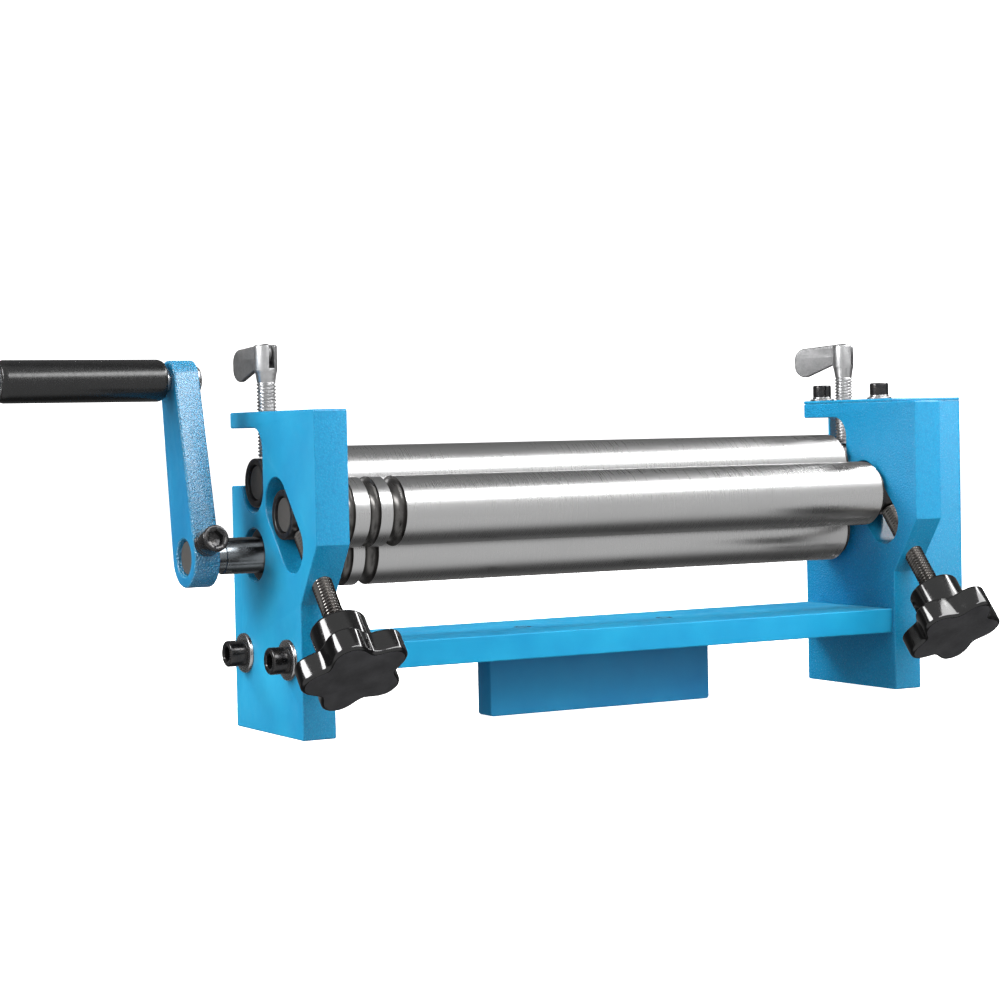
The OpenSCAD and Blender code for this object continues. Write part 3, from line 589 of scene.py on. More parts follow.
paint_face = smooth_paint("blue_enamel_face", 0.5)
paint_bar = smooth_paint("blue_enamel_bar", 0.15, 0.97)
paint_vise_bar = smooth_paint("blue_enamel_vise_bar", 0.3, 0.76)
# The crank arm's faces take tone 0.78: painted shade, darker than the frames' outer faces that look the
# same way, as the hand on the grip shades them
paint_arm_shaded = smooth_paint("blue_enamel_arm_painted_shade", 0.5, 0.78)
# The frames' inner faces take tone 0.86: painted shade, the darker, navier enamel of faces that lie in
# shade between the frames
paint_inside_shaded = hammered_paint("blue_enamel_inside_painted_shade", 0.35, 0.4, 0.86)
paint_edge = hammered_paint("blue_enamel_edge", 0.45, 0.12, 0.91)
paint_crank = hammered_paint("blue_enamel_crank", 1.0, 1.6, 0.92, 0.25)
paint_sheet = hammered_paint("blue_enamel_sheet", 1.0, 0.12, 0.95)
roll_finish = ground_steel("ground_steel")
end_finish = Finish("dull_steel_end", (0.075, 0.07, 0.065), 0.55, 0.25).material
# The shafts' slight blue tint is a painted reflection of the blue frames round them, which the steel
# doesn't mirror
shaft_steel_blue_reflection = turned_steel("turned_steel", (0.24, 0.265, 0.285), 0.2)
# The wire grooves are real recesses; their steel, far darker than the ground rolls, is painted shade and
# dark reflection in them
groove_painted_shade_finish = turned_steel("wire_groove_painted_shade", (0.17, 0.165, 0.16), 0.3)
gear_finish = turned_steel("oiled_gear_steel", (0.25, 0.25, 0.255), 0.34)
bush_finish = blackened("blackened_bush", 0.36)
oxide_finish = blackened("black_oxide", 0.2)
zinc_finish = zinc_plate("zinc_plate", 0.66)
zinc_screw_finish = zinc_plate("zinc_plate_dull", 0.68, 0.4)
zinc_cast_finish = zinc_plate("zinc_plate_cast", 0.25, 1.0)
knob_screw_finish = turned_steel("blackened_thread", (0.22, 0.21, 0.20), 0.22)
knob_finish = moulded_black("glossy_phenolic", 0.002, 0.1, 0.75)
knob_face_finish = moulded_black("matt_phenolic", 0.04, 0.45, 0.4)
grip_finish = moulded_black("satin_grip", 0.004, 0.24, 0.6)

# Side frames


def side_loops():
    """End view of a side frame as (y, z) loops: the outline with its rear notch, then its holes."""
    seat_z = upper_z - SEAT_DROP
    arm_z = frame_top - ARM_THICK
    right, left = pinch_y + SLOT_R, pinch_y - SLOT_R
    corner = CASTING_CORNER
    outline = filleted([
        (FOOT_FRONT, 0, corner), (back_y, 0, corner), (back_y, seat_z + HORN_RISE, corner),
        (right, seat_z + HORN_RISE, HORN_CORNER), (right, seat_z - SLOT_R, SLOT_R - ARC_GAP),
        (left, seat_z - SLOT_R, SLOT_R - ARC_GAP), (left, arm_z, NOTCH_CORNER_R), (back_y, arm_z, corner),
        (back_y, frame_top, corner), (nose_y, frame_top, corner), (nose_y, CHIN_Z, corner),
        (FOOT_FRONT, THROAT_Z, corner),
    ], 12)
    up = -slot_down[1:]
    centre = front_axis[1:]
    bolts = [ring((y, bar_z), BOLT_R + HOLE_GAP) for y in bolt_rows()]
    return [outline, slot_outline(centre - up * SLOT_LOW, centre + up * SLOT_SPARE, SLOT_R),
            ring((pinch_y, lower_z), LOWER_BORE_R, 64), *bolts]


def bolt_rows():
    """Front and rear place of the frame bolts along Y."""
    low, high = node_box("frame_washers")
    return low[1] + WASHER_R, high[1] - WASHER_R


def hole_cutter(origin, along, radius, length, flare=0.0, turns=48):
    """A closed round cutter, flared where it starts."""
    profile = [(-CUT_OUT, 0), (-CUT_OUT, radius + flare + CUT_OUT * bool(flare))]
    if flare:
        profile += [(0, radius + flare), (flare, radius)]
    profile += [(length, radius), (length, 0)]
    cutter = Shell()
    cutter.lathe(profile, seat(origin, along), turns=turns)
    return cutter


def side_frame(hand, side):
    """One side frame; side is -1 at the left and 1 at the right."""
    name = hand + "_frame"
    shell = Shell()
    low, high = (side_in, side_out) if side > 0 else (-side_out, -side_in)
    place = seat((0, 0, 0), X, Y)
    finishes = (2, 1, 0) if side > 0 else (0, 1, 2)
    shell.plate(side_loops(), low, high, FRAME_EDGE, place, finishes)
    face = front_axis + side * side_mid * X + slot_down * FACE_REACH
    arm = (side * side_mid, pinch_y, frame_top + THUMB_FLARE_UP)
    cutters = [
        hole_cutter(face, -slot_down, KNOB_SCREW_R + SCREW_GAP, KNOB_HOLE_DEEP),
        hole_cutter(arm, -Z, THUMB_R + SCREW_GAP, ARM_THICK + CUT_OUT, THUMB_FLARE),
    ]
    shell.piece(name, "base", (paint_face, paint_edge, paint_inside_shaded), cutters=cutters)


for hand, side in SIDES:
    side_frame(hand, side)


def bar(name, low, high, edge, corner, finish):
    """A flat bar that fills a solid's box, with rounded edges and corners."""
    shell = Shell()
    outline = filleted([(low[0], low[2], corner), (high[0], low[2], corner),
                        (high[0], high[2], edge), (low[0], high[2], edge)])
    shell.plate([outline], low[1], high[1], edge, lambda points: points[..., [0, 2, 1]])
    shell.piece(name, "base", (finish,))


bar("crossbar", *node_box("crossbar"), BAR_EDGE, BAR_EDGE, paint_bar)
bar("vise_bar", *node_box("vise_bar"), BAR_EDGE, VISE_CORNER, paint_vise_bar)

# Rolls, bushes and shafts


def roll_profile(grooved):
    """Profile (along, radius) of a roll's body from its left face: chamfers and round wire grooves."""
    profile = [(0, JOURNAL_R), (0, roll_r - ROLL_CHAMFER), (ROLL_CHAMFER, roll_r)]
    for place, width in GROOVES if grooved else ():
        t = np.linspace(math.pi, 0, 13)
        groove = np.stack([place + width / 2 * np.cos(t), roll_r - width / 2 * np.sin(t)], 1)
        profile += [tuple(p) for p in groove]
    length = 2 * ROLL_HALF
    return profile + [(length - ROLL_CHAMFER, roll_r), (length, roll_r - ROLL_CHAMFER),
                      (length, JOURNAL_R)]


def split_lathe(shell, profile, place, finish_of, turns=96):
    """A lathe whose stretches take the finish that finish_of gives for their middle."""
    profile = np.asarray(profile, float)
    middles = (profile[1:] + profile[:-1]) / 2
    for i, (along, radius) in enumerate(middles):
        shell.lathe(profile[i:i + 2], place, finish_of(along, radius), turns)


def roll(name, body, y, z, grooved, left_end, right_end):
    """A roll with its journals; left_end and right_end are profiles beyond its faces."""
    shell = Shell()
    place = seat((-ROLL_HALF, y, z), X, Z)
    profile = list(left_end) + roll_profile(grooved) + [(2 * ROLL_HALF + a, r) for a, r in right_end]

    def finish_of(along, radius):
        """Number of the ground, journal, groove or end finish, by the middle of a stretch."""
        if not 0 < along < 2 * ROLL_HALF:
            return 3 if radius < JOURNAL_R - END_DEPTH else 1
        between = ROLL_CHAMFER < along < 2 * ROLL_HALF - ROLL_CHAMFER
        return 2 if between and radius < roll_r - GROOVE_DEPTH else 0

    split_lathe(shell, profile, place, finish_of)
    finishes = (roll_finish, shaft_steel_blue_reflection, groove_painted_shade_finish, end_finish)
    shell.piece(name, body, finishes, sharp=25)


journal_end = JOURNAL_OUT - ROLL_HALF
plain_right = [(journal_end - END_CHAMFER, JOURNAL_R), (journal_end, JOURNAL_R - END_CHAMFER),
               (journal_end, 0)]
plain_left = [(-along, radius) for along, radius in reversed(plain_right)]
shoulder = SHOULDER_OUT - ROLL_HALF
shaft_end = node_box("upper_roll")[1][0] - ROLL_HALF
geared_right = [(shoulder, JOURNAL_R), (shoulder, SEAT_R), (shaft_end - SEAT_CHAMFER, SEAT_R),
                (shaft_end, SEAT_R - SEAT_CHAMFER), (shaft_end, 0)]
stub_end = node_box("lower_roll")[0][0] + ROLL_HALF
groove_start = crank_in + STUB_GROOVE_GAP + ROLL_HALF
groove_end = groove_start + STUB_GROOVE_WIDE
groove_r = JOURNAL_R - STUB_GROOVE_DEEP
crank_left = [
    (stub_end, 0), (stub_end, JOURNAL_R - STUB_CHAMFER), (stub_end + STUB_CHAMFER, JOURNAL_R),
    (groove_start, JOURNAL_R), (groove_start + STUB_GROOVE_SLOPE, groove_r),
    (groove_end - STUB_GROOVE_SLOPE, groove_r), (groove_end, JOURNAL_R),
]
roll("lower_roll", "drive", pinch_y, lower_z, True, crank_left, geared_right)
roll("upper_roll", "pinch_roll", pinch_y, upper_z, False, plain_left, geared_right)
roll("front_roll", "forming_roll", front_y, front_z, True, plain_left, plain_right)


def bush(name, body, side, y, z, radius, gap, depth):
    """A flanged bush from the inside of a frame outwards; depth is where its outer end lies."""
    shell = Shell()
    corners = [(-gap - FLANGE_THICK, BUSH_BORE_R, 0), (-gap - FLANGE_THICK, FLANGE_R, 0.3),
               (-gap, FLANGE_R, 0.3), (-gap, radius, 0), (depth, radius, 0.5),
               (depth, BUSH_BORE_R, 0.5)]
    shell.lathe(closed(filleted(corners, 3)), seat((side * side_in, y, z), side * X, Z))
    shell.piece(name, body, (bush_finish,))


for hand, side in SIDES:
    for row, body, y, z, radius, gap, sunk in (
            ("upper", "upper_carriage", pinch_y, upper_z, BUSH_R, BUSH_PLAY, BUSH_SUNK),
            ("front", "front_carriage", front_y, front_z, BUSH_R, BUSH_PLAY, BUSH_SUNK),
            ("lower", "base", pinch_y, lower_z, LOWER_BORE_R, 0.0, LOWER_BUSH_SUNK)):
        bush(f"{row}_bush_{hand}", body, side, y, z, radius, gap, side_out - side_in - sunk)

# Screws


def thread(shell, place, low, high, radius, turns=48):
    """A right-handed thread: radius less depth times a V of (along / pitch - angle / turn), cut off
    at crest and root, and faded out over the last half turn at each end."""
    rows = int((high - low) / THREAD_PITCH * ROWS_PER_TURN) + 1
    along = np.linspace(low, high, rows)[:, None]
    a = angles(turns)[None]
    phase = (along / THREAD_PITCH - a / TAU) % 1.0
    vee = np.clip(np.abs(phase - 0.5) * 2 * THREAD_STEEP - THREAD_CREST, 0, 1)
    fade = np.clip(np.minimum(along - low, high - along) / (THREAD_PITCH * 0.5), 0, 1)
    r = radius - THREAD_DEPTH * vee * fade - THREAD_DEPTH * 0.5 * (1 - fade)
    points = np.stack([r * np.cos(a), r * np.sin(a), np.broadcast_to(along, r.shape)], -1)
    shell.grid(place(points))
    shell.cap(points[0], place)
    shell.cap(points[-1], place)


def socket_head(shell, place, radius, tall, hex_wide, turns=72):
    """A socket screw's head above local z = 0: a rounded cylinder whose top falls into a hexagon of
    radius half-width / cos(angle from the middle of a side)."""
    a = angles(turns)
    side = (a + TAU / 12) % (TAU / 6) - TAU / 12
    hexagon = hex_wide / 2 / np.cos(side)
    mouth = hex_wide / 2 / math.cos(TAU / 12) + 0.35
    outer = filleted([(0, 0, 0), (0, radius, 0.35), (tall, radius, 0.8), (tall, mouth, 0)], 5)
    rows = [*outer, (tall - 0.45, hexagon), (tall * 0.45, hexagon), (tall * 0.38, 0.0)]
    shell.grid(place(stacked(rows, a)))


def flat_washer(shell, place, outer, inner, thick):
    """A flat washer with softened edges."""
    outline = filleted([(0, inner, 0.1), (0, outer, 0.35), (thick, outer, 0.35), (thick, inner, 0.2)], 3)
    shell.lathe(closed(outline), place, turns=64)


def spring_washer(shell, place, outer, inner, thick, gap):
    """A split washer: its square section is carried round a circle but for the gap."""
    a = np.linspace(gap / outer / 2, TAU - gap / outer / 2, 60)
    low, high = 0.05, thick - 0.05
    section = filleted([(inner, low, 0.15), (outer, low, 0.3), (outer, high, 0.3),
                        (inner, high, 0.15)], 3)
    r, h = section[:, 0], section[:, 1]
    points = np.stack([np.cos(a)[:, None] * r, np.sin(a)[:, None] * r,
                       np.broadcast_to(h, (len(a), len(r)))], -1)
    shell.grid(place(points))
    shell.cap(points[0], place)
    shell.cap(points[-1], place)


bolts, washers = Shell(), Shell()
for hand, side in SIDES:
    for row, y in enumerate(bolt_rows()):
        under_head = seat((side * (side_out + WASHER_THICK), y, bar_z), side * X,
                          (0, math.cos(row + side), math.sin(row + side)))
        socket_head(bolts, under_head, BOLT_HEAD_R, BOLT_HEAD_TALL, BOLT_HEX)
        bolts.lathe([(-BOLT_LONG, 0), (-BOLT_LONG, BOLT_R - BOLT_CHAMFER),
                     (BOLT_CHAMFER - BOLT_LONG, BOLT_R), (SHANK_OVERLAP, BOLT_R),
                     (SHANK_OVERLAP, 0)], under_head, turns=32)
        flat_washer(washers, seat((side * side_out, y, bar_z), side * X), WASHER_R,
                    BOLT_R + WASHER_GAP, WASHER_THICK)
bolts.piece("frame_bolts", "base", (oxide_finish,))
washers.piece("frame_washers", "base", (zinc_finish,))

# Gear cover

COVER_THICK = 1.6
COVER_FOLD = 3.0
THUMB_HOLE_GAP = 1.0
WALL_EDGE = 0.25
TOP_EDGE = 0.5
cover_low, cover_high = node_box("gear_cover")
screw_low, screw_high = node_box("cover_screws")
cover_rows = (screw_low[1] + SMALL_HEAD_R, screw_high[1] - SMALL_HEAD_R)


def gear_cover():
    """Folded sheet: a wall carried round three sides of the box, and a top plate over the frame."""
    shell = Shell()
    out, front, back = cover_high[0], cover_low[1], cover_high[1]
    fold = COVER_FOLD
    outer = filleted([(side_out, front, 0), (out, front, fold), (out, back, fold),
                      (side_out, back, 0)], 8)
    t = COVER_THICK
    inner = filleted([(side_out, front + t, 0), (out - t, front + t, fold - t),
                      (out - t, back - t, fold - t), (side_out, back - t, 0)], 8)
    wall = np.concatenate([outer, inner[::-1]])
    flat = seat((0, 0, 0), Z, X)
    shell.plate([wall], cover_low[2], frame_top, WALL_EDGE, flat)
    top = filleted([(side_in, front, 0.4), (out, front, fold), (out, back, fold),
                    (side_in, back, 0.4)], 8)
    holes = [ring((side_mid, y), SMALL_SCREW_R + HOLE_GAP) for y in cover_rows]
    thumb_hole = ring((side_mid, pinch_y), THUMB_R + THUMB_HOLE_GAP)
    shell.plate([top, thumb_hole, *holes], frame_top, cover_high[2], TOP_EDGE, flat)
    shell.piece("gear_cover", "base", (paint_sheet,))


gear_cover()
screws, washers = Shell(), Shell()
for row, y in enumerate(cover_rows):
    across = (math.cos(row), math.sin(row), 0)
    head_base = cover_high[2] + SMALL_WASHER_THICK + SMALL_SPRING_THICK
    under_head = seat((side_mid, y, head_base), Z, across)
    socket_head(screws, under_head, SMALL_HEAD_R, SMALL_HEAD_TALL, SMALL_HEX)
    thread(screws, under_head, screw_low[2] - head_base, 0.1, SMALL_SCREW_R, turns=32)
    bore = SMALL_SCREW_R + WASHER_GAP
    flat_washer(washers, seat((side_mid, y, cover_high[2]), Z), SMALL_WASHER_R, bore, SMALL_WASHER_THICK)
    spring_washer(washers, seat((side_mid, y, cover_high[2] + SMALL_WASHER_THICK), Z, across),
                  SMALL_HEAD_R + 0.2, bore, SMALL_SPRING_THICK, SPRING_GAP)
screws.piece("cover_screws", "base", (oxide_finish,))
washers.piece("cover_washers", "base", (zinc_finish,))

# Crank and handle

CRANK_LOW_R = 13.5
CRANK_TOP_R = 9.0
CRANK_EDGE = 0.9
CRANK_SCREW_UP = 3.5
FLAT_DIST = 5.5
SPRING_WASHER = 2.2
TIP_R = 2.2
TIP_TALL = 1.8
SCREW_HOLE_DEEP = 9.0
GRIP_LENGTH = 76.0
GRIP_R = 9.5
HANDLE_BOLT_R = 4.0
HANDLE_HEAD_R = 6.5
HANDLE_HEAD_TALL = 6.0
HEAD_SINK = 1.0
SHOULDER_R = 5.3
SHOULDER_TALL = 2.3
RIVET_TALL = 2.8
RIVET_R = 7.0
END_GAP = 0.3
crank_low = np.array([pinch_y, lower_z])
crank_top = np.array([handle_y, handle_z])
crank_length = np.linalg.norm(crank_top - crank_low)
crank_lean = math.atan2(*(crank_top - crank_low))
screw_angle = crank_lean + math.asin((CRANK_LOW_R - CRANK_TOP_R) / crank_length)


def link_outline(low, high, low_r, high_r, steps=28):
    """Outline of two circles joined by their outer tangents, which touch at
    acos((low_r - high_r) / distance) from the line of centres."""
    low, high = np.asarray(low, float), np.asarray(high, float)
    span = high - low
    heading = math.atan2(span[1], span[0])
    touch = math.acos((low_r - high_r) / np.linalg.norm(span))
    a = np.linspace(-touch, touch, steps) + heading
    b = np.linspace(touch, TAU - touch, steps) + heading
    return np.concatenate([high + high_r * unit(a), low + low_r * unit(b)])


screw_out = np.array([0.0, -math.cos(screw_angle), math.sin(screw_angle)])
screw_up = np.array([0.0, math.sin(screw_angle), math.cos(screw_angle)])
screw_origin = np.array([crank_mid, *crank_low]) + CRANK_SCREW_UP * screw_up


def on_screw(distance, across=None):
    """Place on the clamp screw's axis, at a distance from the shaft's middle."""
    return seat(screw_origin + distance * screw_out, screw_out, across)


arm = Shell()
arm.plate([link_outline(crank_low, crank_top, CRANK_LOW_R, CRANK_TOP_R),
           ring(crank_low, JOURNAL_R + FIT, 64), ring(crank_top, HANDLE_BOLT_R + FIT)],
          crank_out, crank_in, CRANK_EDGE, seat((0, 0, 0), X, Y), (0, 1, 0))
screw_hole = hole_cutter(screw_origin + screw_out * (CRANK_LOW_R + CUT_SPARE), -screw_out, BOLT_R + FIT,
                         SCREW_HOLE_DEEP + CUT_SPARE)
arm.piece("crank_arm", "drive", (paint_arm_shaded, paint_crank), cutters=[screw_hole])

clamp = Shell()
head_seat = CRANK_LOW_R + WASHER_THICK + SPRING_WASHER
tip = FLAT_DIST + CLAMP_GAP
socket_head(clamp, on_screw(head_seat, screw_up + X), BOLT_HEAD_R, BOLT_HEAD_TALL, BOLT_HEX)
clamp_top = head_seat + SHANK_OVERLAP
clamp.lathe([(tip, 0), (tip, TIP_R), (FLAT_DIST + TIP_TALL, BOLT_R), (clamp_top, BOLT_R),
             (clamp_top, 0)], on_screw(0), turns=32)
clamp.piece("crank_screw", "drive", (oxide_finish,))

clamp_washers = Shell()
clamp_bore = BOLT_R + CLAMP_GAP
flat_washer(clamp_washers, on_screw(CRANK_LOW_R), BOLT_HEAD_R, clamp_bore, WASHER_THICK)
spring_washer(clamp_washers, on_screw(CRANK_LOW_R + WASHER_THICK), BOLT_HEAD_R, clamp_bore,
              SPRING_WASHER, SPRING_GAP)
clamp_washers.piece("crank_washers", "drive", (oxide_finish,))

on_handle = seat((crank_out, handle_y, handle_z), -X, Z)
crank_thick = crank_in - crank_out
grip_start = SHOULDER_TALL + END_GAP
head_low = grip_start + GRIP_LENGTH - HEAD_SINK - HANDLE_HEAD_TALL

bolt = Shell()
inner = -crank_thick
rivet_end = inner - RIVET_TALL
bolt.lathe(filleted([(rivet_end, 0, 0), (rivet_end, RIVET_R - 1.2, 1.5), (inner - 0.8, RIVET_R, 0.4),
                     (inner, RIVET_R, 0), (inner, HANDLE_BOLT_R, 0), (0, HANDLE_BOLT_R, 0),
                     (0, SHOULDER_R, 0.2), (SHOULDER_TALL, SHOULDER_R, 0.5),
                     (SHOULDER_TALL, HANDLE_BOLT_R, 0), (head_low, HANDLE_BOLT_R, 0),
                     (head_low, 0, 0)], 6), on_handle)
socket_head(bolt, seat((crank_out - head_low, handle_y, handle_z), -X, Z), HANDLE_HEAD_R,
            HANDLE_HEAD_TALL, BOLT_HEX)
bolt.piece("handle_bolt", "drive", (zinc_finish,))


def grip_profile():
    """Half section of the grip: a tube with soft ends, the outer one recessed for the bolt's head."""
    low, high = grip_start, grip_start + GRIP_LENGTH
    recess = HEAD_SINK + HANDLE_HEAD_TALL + END_GAP
    bore, wide = HANDLE_BOLT_R + FIT, HANDLE_HEAD_R + END_GAP
    outline = filleted([(low, bore, 0.3), (low, GRIP_R - 0.9, 0.8), (low + 2.0, GRIP_R, 2.5),
                        (high - 2.0, GRIP_R, 2.5), (high, GRIP_R - 0.9, 0.8), (high, wide, 0.5),
                        (high - recess, wide, 0.3), (high - recess, bore, 0)], 6)
    return closed(outline)


grip = Shell()
grip.lathe(grip_profile(), on_handle, turns=96)
grip.piece("handle_grip", "grip", (grip_finish,))

# Thumb screws

HEAD_R = 5.25
HEAD_TALL = 12.4
HEAD_EDGE = 0.9
NECK_TALL = 4.7
NECK_LOW_R = 4.15
NECK_TOP_R = 4.9
LEAF_THICK = 2.5
LEAF_EDGE = 0.7
LEAF_ROOT_R = 4.2
LEAF_END_R = 5.9
LEAF_REACH = 21.0
LEAF_DROPS = (3.5, 6.6)
LEAF_GAP = 2.8
PIN_R = 1.5
SLOT_FLOOR = 6.94
LEAF_TURNS = {"left": math.radians(98), "right": math.radians(119.5)}
thumb_low, thumb_high = node_box("thumb_screw_left")
pin_z = node_middle("leaf_pin_left")[2]
head_z = thumb_high[2] - HEAD_TALL
neck_z = head_z - NECK_TALL


def leaf_outline():
    """The leaf's flat outline round its pin: tangents from the root's circle to the two corner
    circles at the end touch at acos((root - corner) / distance) from the lines of centres."""
    upper, lower = (np.array([LEAF_REACH, -drop]) for drop in LEAF_DROPS)
    step = LEAF_ROOT_R - LEAF_END_R
    high = math.atan2(upper[1], upper[0]) + math.acos(step / np.linalg.norm(upper))
    low = math.atan2(lower[1], lower[0]) - math.acos(step / np.linalg.norm(lower))
    return np.concatenate([
        centre + radius * unit(a)
        for centre, radius, a in ((lower, LEAF_END_R, np.linspace(low, 0, 20)),
                                  (upper, LEAF_END_R, np.linspace(0, high, 20)),
                                  (0 * upper, LEAF_ROOT_R, np.linspace(high, low + TAU, 30)))])


def thumb_screw(hand, side):
    """Threaded stem, neck, and a round head split by the leaf's slot into two cheeks."""
    turn = LEAF_TURNS[hand]
    pointing = np.array([math.cos(turn), math.sin(turn), 0.0])
    pin_along = np.array([math.sin(turn), -math.cos(turn), 0.0])
    centre = np.array([side * side_mid, pinch_y, 0.0])
    upright = seat(centre, Z, pointing)
    shell = Shell()
    thread(shell, upright, thumb_low[2], neck_z + 0.3, THUMB_R)
    floor = pin_z - SLOT_FLOOR
    neck = filleted([(neck_z, 0, 0), (neck_z, NECK_LOW_R, 0.3), (head_z - 0.2, NECK_TOP_R, 0.4),
                     (head_z + 0.4, HEAD_R - 0.1, 0.3), (floor, HEAD_R - 0.1, 0.15), (floor, 0, 0)], 5)
    shell.lathe(neck, upright)
    angle = math.asin(LEAF_GAP / 2 / HEAD_R)
    a = np.linspace(angle, math.pi - angle, 40)
    for cheek in (1, -1):
        outline = cheek * HEAD_R * unit(a)
        shell.plate([outline], head_z + 0.1, thumb_high[2], HEAD_EDGE, upright, edge_steps=6)
    body = "thumb_" + hand
    shell.piece(f"thumb_screw_{hand}", body, (zinc_screw_finish,))

    pin = Shell()
    across = HEAD_R - 0.25
    pin.lathe(filleted([(-across, 0, 0), (-across, PIN_R, 0.4), (across, PIN_R, 0.4), (across, 0, 0)], 4),
              seat(centre + pin_z * Z, pin_along), turns=32)
    pin.piece(f"leaf_pin_{hand}", body, (zinc_finish,))

    leaf = Shell()
    leaf.plate([leaf_outline(), ring((0, 0), PIN_R + FIT, 32)], -LEAF_THICK / 2, LEAF_THICK / 2,
               LEAF_EDGE, seat(centre + pin_z * Z, pin_along, pointing), edge_steps=5)
    leaf.piece(f"leaf_{hand}", "leaf_" + hand, (zinc_cast_finish,))


for hand, side in SIDES:
    thumb_screw(hand, side)

# Star knobs


def star_radius(a):
    """Knob's edge: the full radius less the valley's depth times ((1 - cos(lobes a)) / 2) ^ power."""
    return KNOB_R - KNOB_VALLEY * ((1 - np.cos(KNOB_LOBES * a)) / 2) ** KNOB_POWER


def star_knob(hand, side):
    """Hub and lobed star in one moulding: the half section (height, share of the star's radius)
    is carried round the screw, following the star where it is lobed."""
    origin = front_axis + side * side_mid * X
    turn = KNOB_TURNS[hand]
    place = seat(origin, slot_down, math.cos(turn) * X + math.sin(turn) * np.cross(slot_down, X))
    a = angles(KNOB_STEPS)
    hub_top = KNOB_REACH + KNOB_HUB_TALL
    end = hub_top + KNOB_STAR_TALL
    bore = KNOB_SCREW_R + FIT
    under, over = KNOB_UNDER_ROUND, KNOB_TOP_ROUND
    rows = list(filleted([(KNOB_REACH, bore, 0), (KNOB_REACH, KNOB_HUB_R, 1.6),
                          (hub_top, KNOB_HUB_R, 0)], 7))
    star = star_radius(a)
    for t in np.linspace(0, math.pi / 2, 6):
        rows.append((hub_top + under * (1 - math.cos(t)), star - under * (1 - math.sin(t))))
    for t in np.linspace(0, math.pi / 2, 8):
        rows.append((end - over * (1 - math.sin(t)), star - over * (1 - math.cos(t))))
    rows += [(end, star * 0.6), (end, KNOB_FACE_R), (end, 0.0)]
    points = stacked(rows, a)
    shell = Shell()
    shell.grid(place(points[:-3]))
    shell.grid(place(points[-4:]), 1)
    depth = end - KNOB_CAP
    shell.lathe([(KNOB_REACH, bore), (depth, bore), (depth, 0)], place, turns=KNOB_STEPS)
    body = "knob_" + hand
    shell.piece(f"star_knob_{hand}", body, (knob_finish, knob_face_finish))

    screw = Shell()
    thread(screw, place, SLOT_R, depth - 0.1, KNOB_SCREW_R)
    screw.piece(f"knob_screw_{hand}", body, (knob_screw_finish,))


for hand, side in SIDES:
    star_knob(hand, side)

# The painted base isn't mirrored in the steel, whose reflections are neutral grey; the shafts' colour
# carries a painted blue reflection instead

for node in ("left_frame", "right_frame", "crossbar", "vise_bar", "gear_cover"):
    bpy.data.objects[node + "_surface"].visible_glossy = False

# Pieces that stay as the solids, with a finish each

for node, finish in (("vise_bar_screws", oxide_finish),
                     ("lower_gear", gear_finish), ("upper_gear", gear_finish),
                     ("lower_gear_key", gear_finish), ("upper_gear_key", gear_finish),
                     ("lower_gear_ring", oxide_finish), ("upper_gear_ring", oxide_finish)):
    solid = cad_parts[node]
    if not solid.material_slots:
        solid.data.materials.append(finish)
    for place in solid.material_slots:
        place.material = finish

# Camera, floor and light


def soft_box(name, spot, aim, size, power, mirrored=True):
    """An area lamp at spot turned to aim, in metres and watts; mirrored says if steel reflects it."""
    data = bpy.data.lights.new(name, "AREA")
    data.shape = "RECTANGLE"
    data.size, data.size_y = size
    data.energy = power
    lamp = new_object(name, data)
    lamp.location = spot
    lamp.rotation_euler = (Vector(aim) - lamp.location).to_track_quat("-Z", "Y").to_euler()
    lamp.visible_glossy = mirrored


def backdrop(name, points, faces, strength):
    """A white stage surface for the camera alone: it isn't mirrored and lights nothing."""
    mesh = bpy.data.meshes.new(name)
    mesh.from_pydata(points, [], faces)
    stage = new_object(name, mesh)
    stage.visible_glossy = False
    stage.visible_diffuse = False
    stage.visible_shadow = False
    pale = Finish(name + "_white", (0.82, 0.82, 0.82), 0.7, Emission_Color=(1, 1, 1, 1),
                  Emission_Strength=strength)
    mesh.materials.append(pale.material)


STAGE_REACH = 40.0
STAGE_CORNERS = [(x * STAGE_REACH, y * STAGE_REACH) for x, y in ((-1, -1), (1, -1), (1, 1), (-1, 1))]
# Light to the front, to the back and overhead: a direction, then how far along it a ramp starts
# and ends, and the strength at both
LIGHT_RAMPS = (
    ((-0.49, -0.87, 0.0), (-0.15, 0.15, 0.06, 0.66)),
    ((0.49, 0.87, 0.0), (0.45, 0.8, 0.04, 0.16)),
    ((0.0, 0.0, 1.0), (0.2, 0.8, 0.04, 0.22)),
)


def surround():
    """Light from all round: bright in front, dimmer at the back and overhead, nearly dark elsewhere.
    The strength is the largest of the ramps, each over the dot product with its direction."""
    world = bpy.data.worlds.new("studio")
    bpy.context.scene.world = world
    world.use_nodes = True
    tree = world.node_tree
    sky = tree.nodes["Background"]
    sky.inputs["Color"].default_value = (1, 1, 1, 1)
    look = tree.nodes.new("ShaderNodeTexCoord")
    parts = []
    for direction, ramp_values in LIGHT_RAMPS:
        dot = tree.nodes.new("ShaderNodeVectorMath")
        dot.operation = "DOT_PRODUCT"
        dot.inputs[1].default_value = direction
        tree.links.new(look.outputs["Generated"], dot.inputs[0])
        ramp = tree.nodes.new("ShaderNodeMapRange")
        for socket, value in zip(("From Min", "From Max", "To Min", "To Max"), ramp_values):
            ramp.inputs[socket].default_value = value
        tree.links.new(dot.outputs["Value"], ramp.inputs["Value"])
        parts.append(ramp.outputs["Result"])
    strength = parts[0]
    for part in parts[1:]:
        larger = tree.nodes.new("ShaderNodeMath")
        larger.operation = "MAXIMUM"
        tree.links.new(strength, larger.inputs[0])
        tree.links.new(part, larger.inputs[1])
        strength = larger.outputs["Value"]
    tree.links.new(strength, sky.inputs["Strength"])


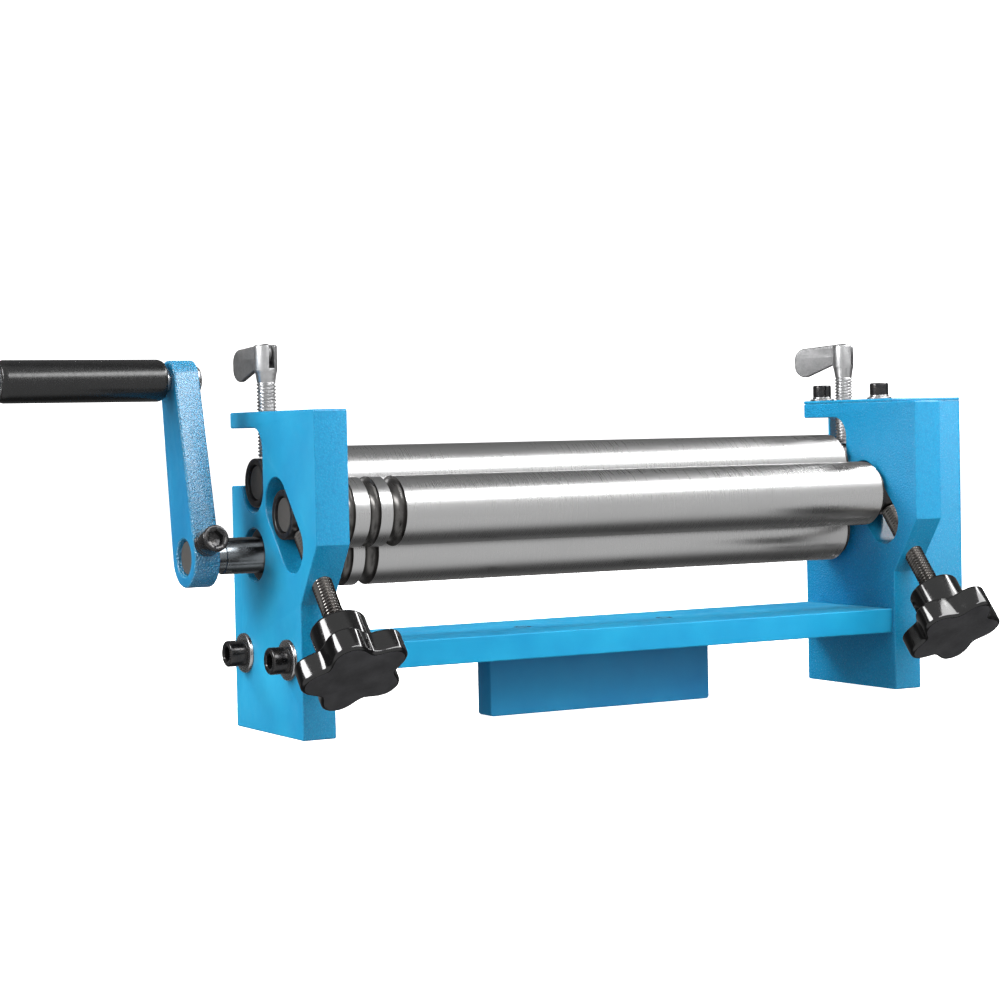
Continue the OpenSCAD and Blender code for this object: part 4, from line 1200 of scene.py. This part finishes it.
# Camera's place in millimetres, its axes, and its focal length in pixels of the square image
CAMERA_SPOT = (-612.2, -1001.5, 131.9)
CAMERA_AHEAD = (0.4895, 0.8716, -0.0269)
CAMERA_UP = (0.0313, 0.0132, 0.9994)
FOCAL_PIXELS = 2435.6
IMAGE_PIXELS = 1000
SENSOR = 36.0


def camera():
    """The camera fitted to the photograph."""
    data = bpy.data.cameras.new("camera")
    data.sensor_width = SENSOR
    data.sensor_fit = "HORIZONTAL"
    data.lens = FOCAL_PIXELS / IMAGE_PIXELS * SENSOR
    eye = new_object("camera", data)
    back = -Vector(CAMERA_AHEAD).normalized()
    right = Vector(CAMERA_UP).cross(back).normalized()
    up = back.cross(right)
    turned = Matrix((right, up, back)).transposed().to_4x4()
    eye.matrix_world = Matrix.Translation(Vector(CAMERA_SPOT) * MM) @ turned
    bpy.context.scene.camera = eye


backdrop("floor", [(x, y, 0) for x, y in STAGE_CORNERS], [(0, 1, 2, 3)], 0.95)
backdrop("far_walls", [(x, y, z) for z in (-0.5, STAGE_REACH) for x, y in STAGE_CORNERS],
         [(0, 1, 5, 4), (1, 2, 6, 5), (2, 3, 7, 6), (3, 0, 4, 7), (4, 5, 6, 7)], 1.1)
surround()
soft_box("left_key", (-1.15, 0.12, 0.60), (-0.1, 0, 0.08), (0.62, 0.42), 12.5)
soft_box("left_soft", (-1.1, 0.6, 0.40), (-0.1, 0, 0.08), (0.7, 0.55), 4, mirrored=False)
soft_box("front_soft", (0.4, -0.62, 0.80), (0, 0, 0.1), (1.6, 0.62), 6, mirrored=False)
soft_box("front_strip", (0.38, -0.60, 0.74), (0, 0, 0.1), (1.5, 0.34), 12)
soft_box("front_fill", (0.9, -1.0, 0.40), (0.05, 0, 0.1), (0.7, 0.5), 5.5, mirrored=False)
soft_box("back_soft", (-0.15, 1.0, 1.0), (0, 0, 0.05), (0.9, 0.4), 32, mirrored=False)
soft_box("right_strip", (0.75, 0.0, 0.75), (0, 0, 0.08), (0.5, 0.08), 2.0)
camera()
bpy.context.scene.view_settings.view_transform = "Standard"
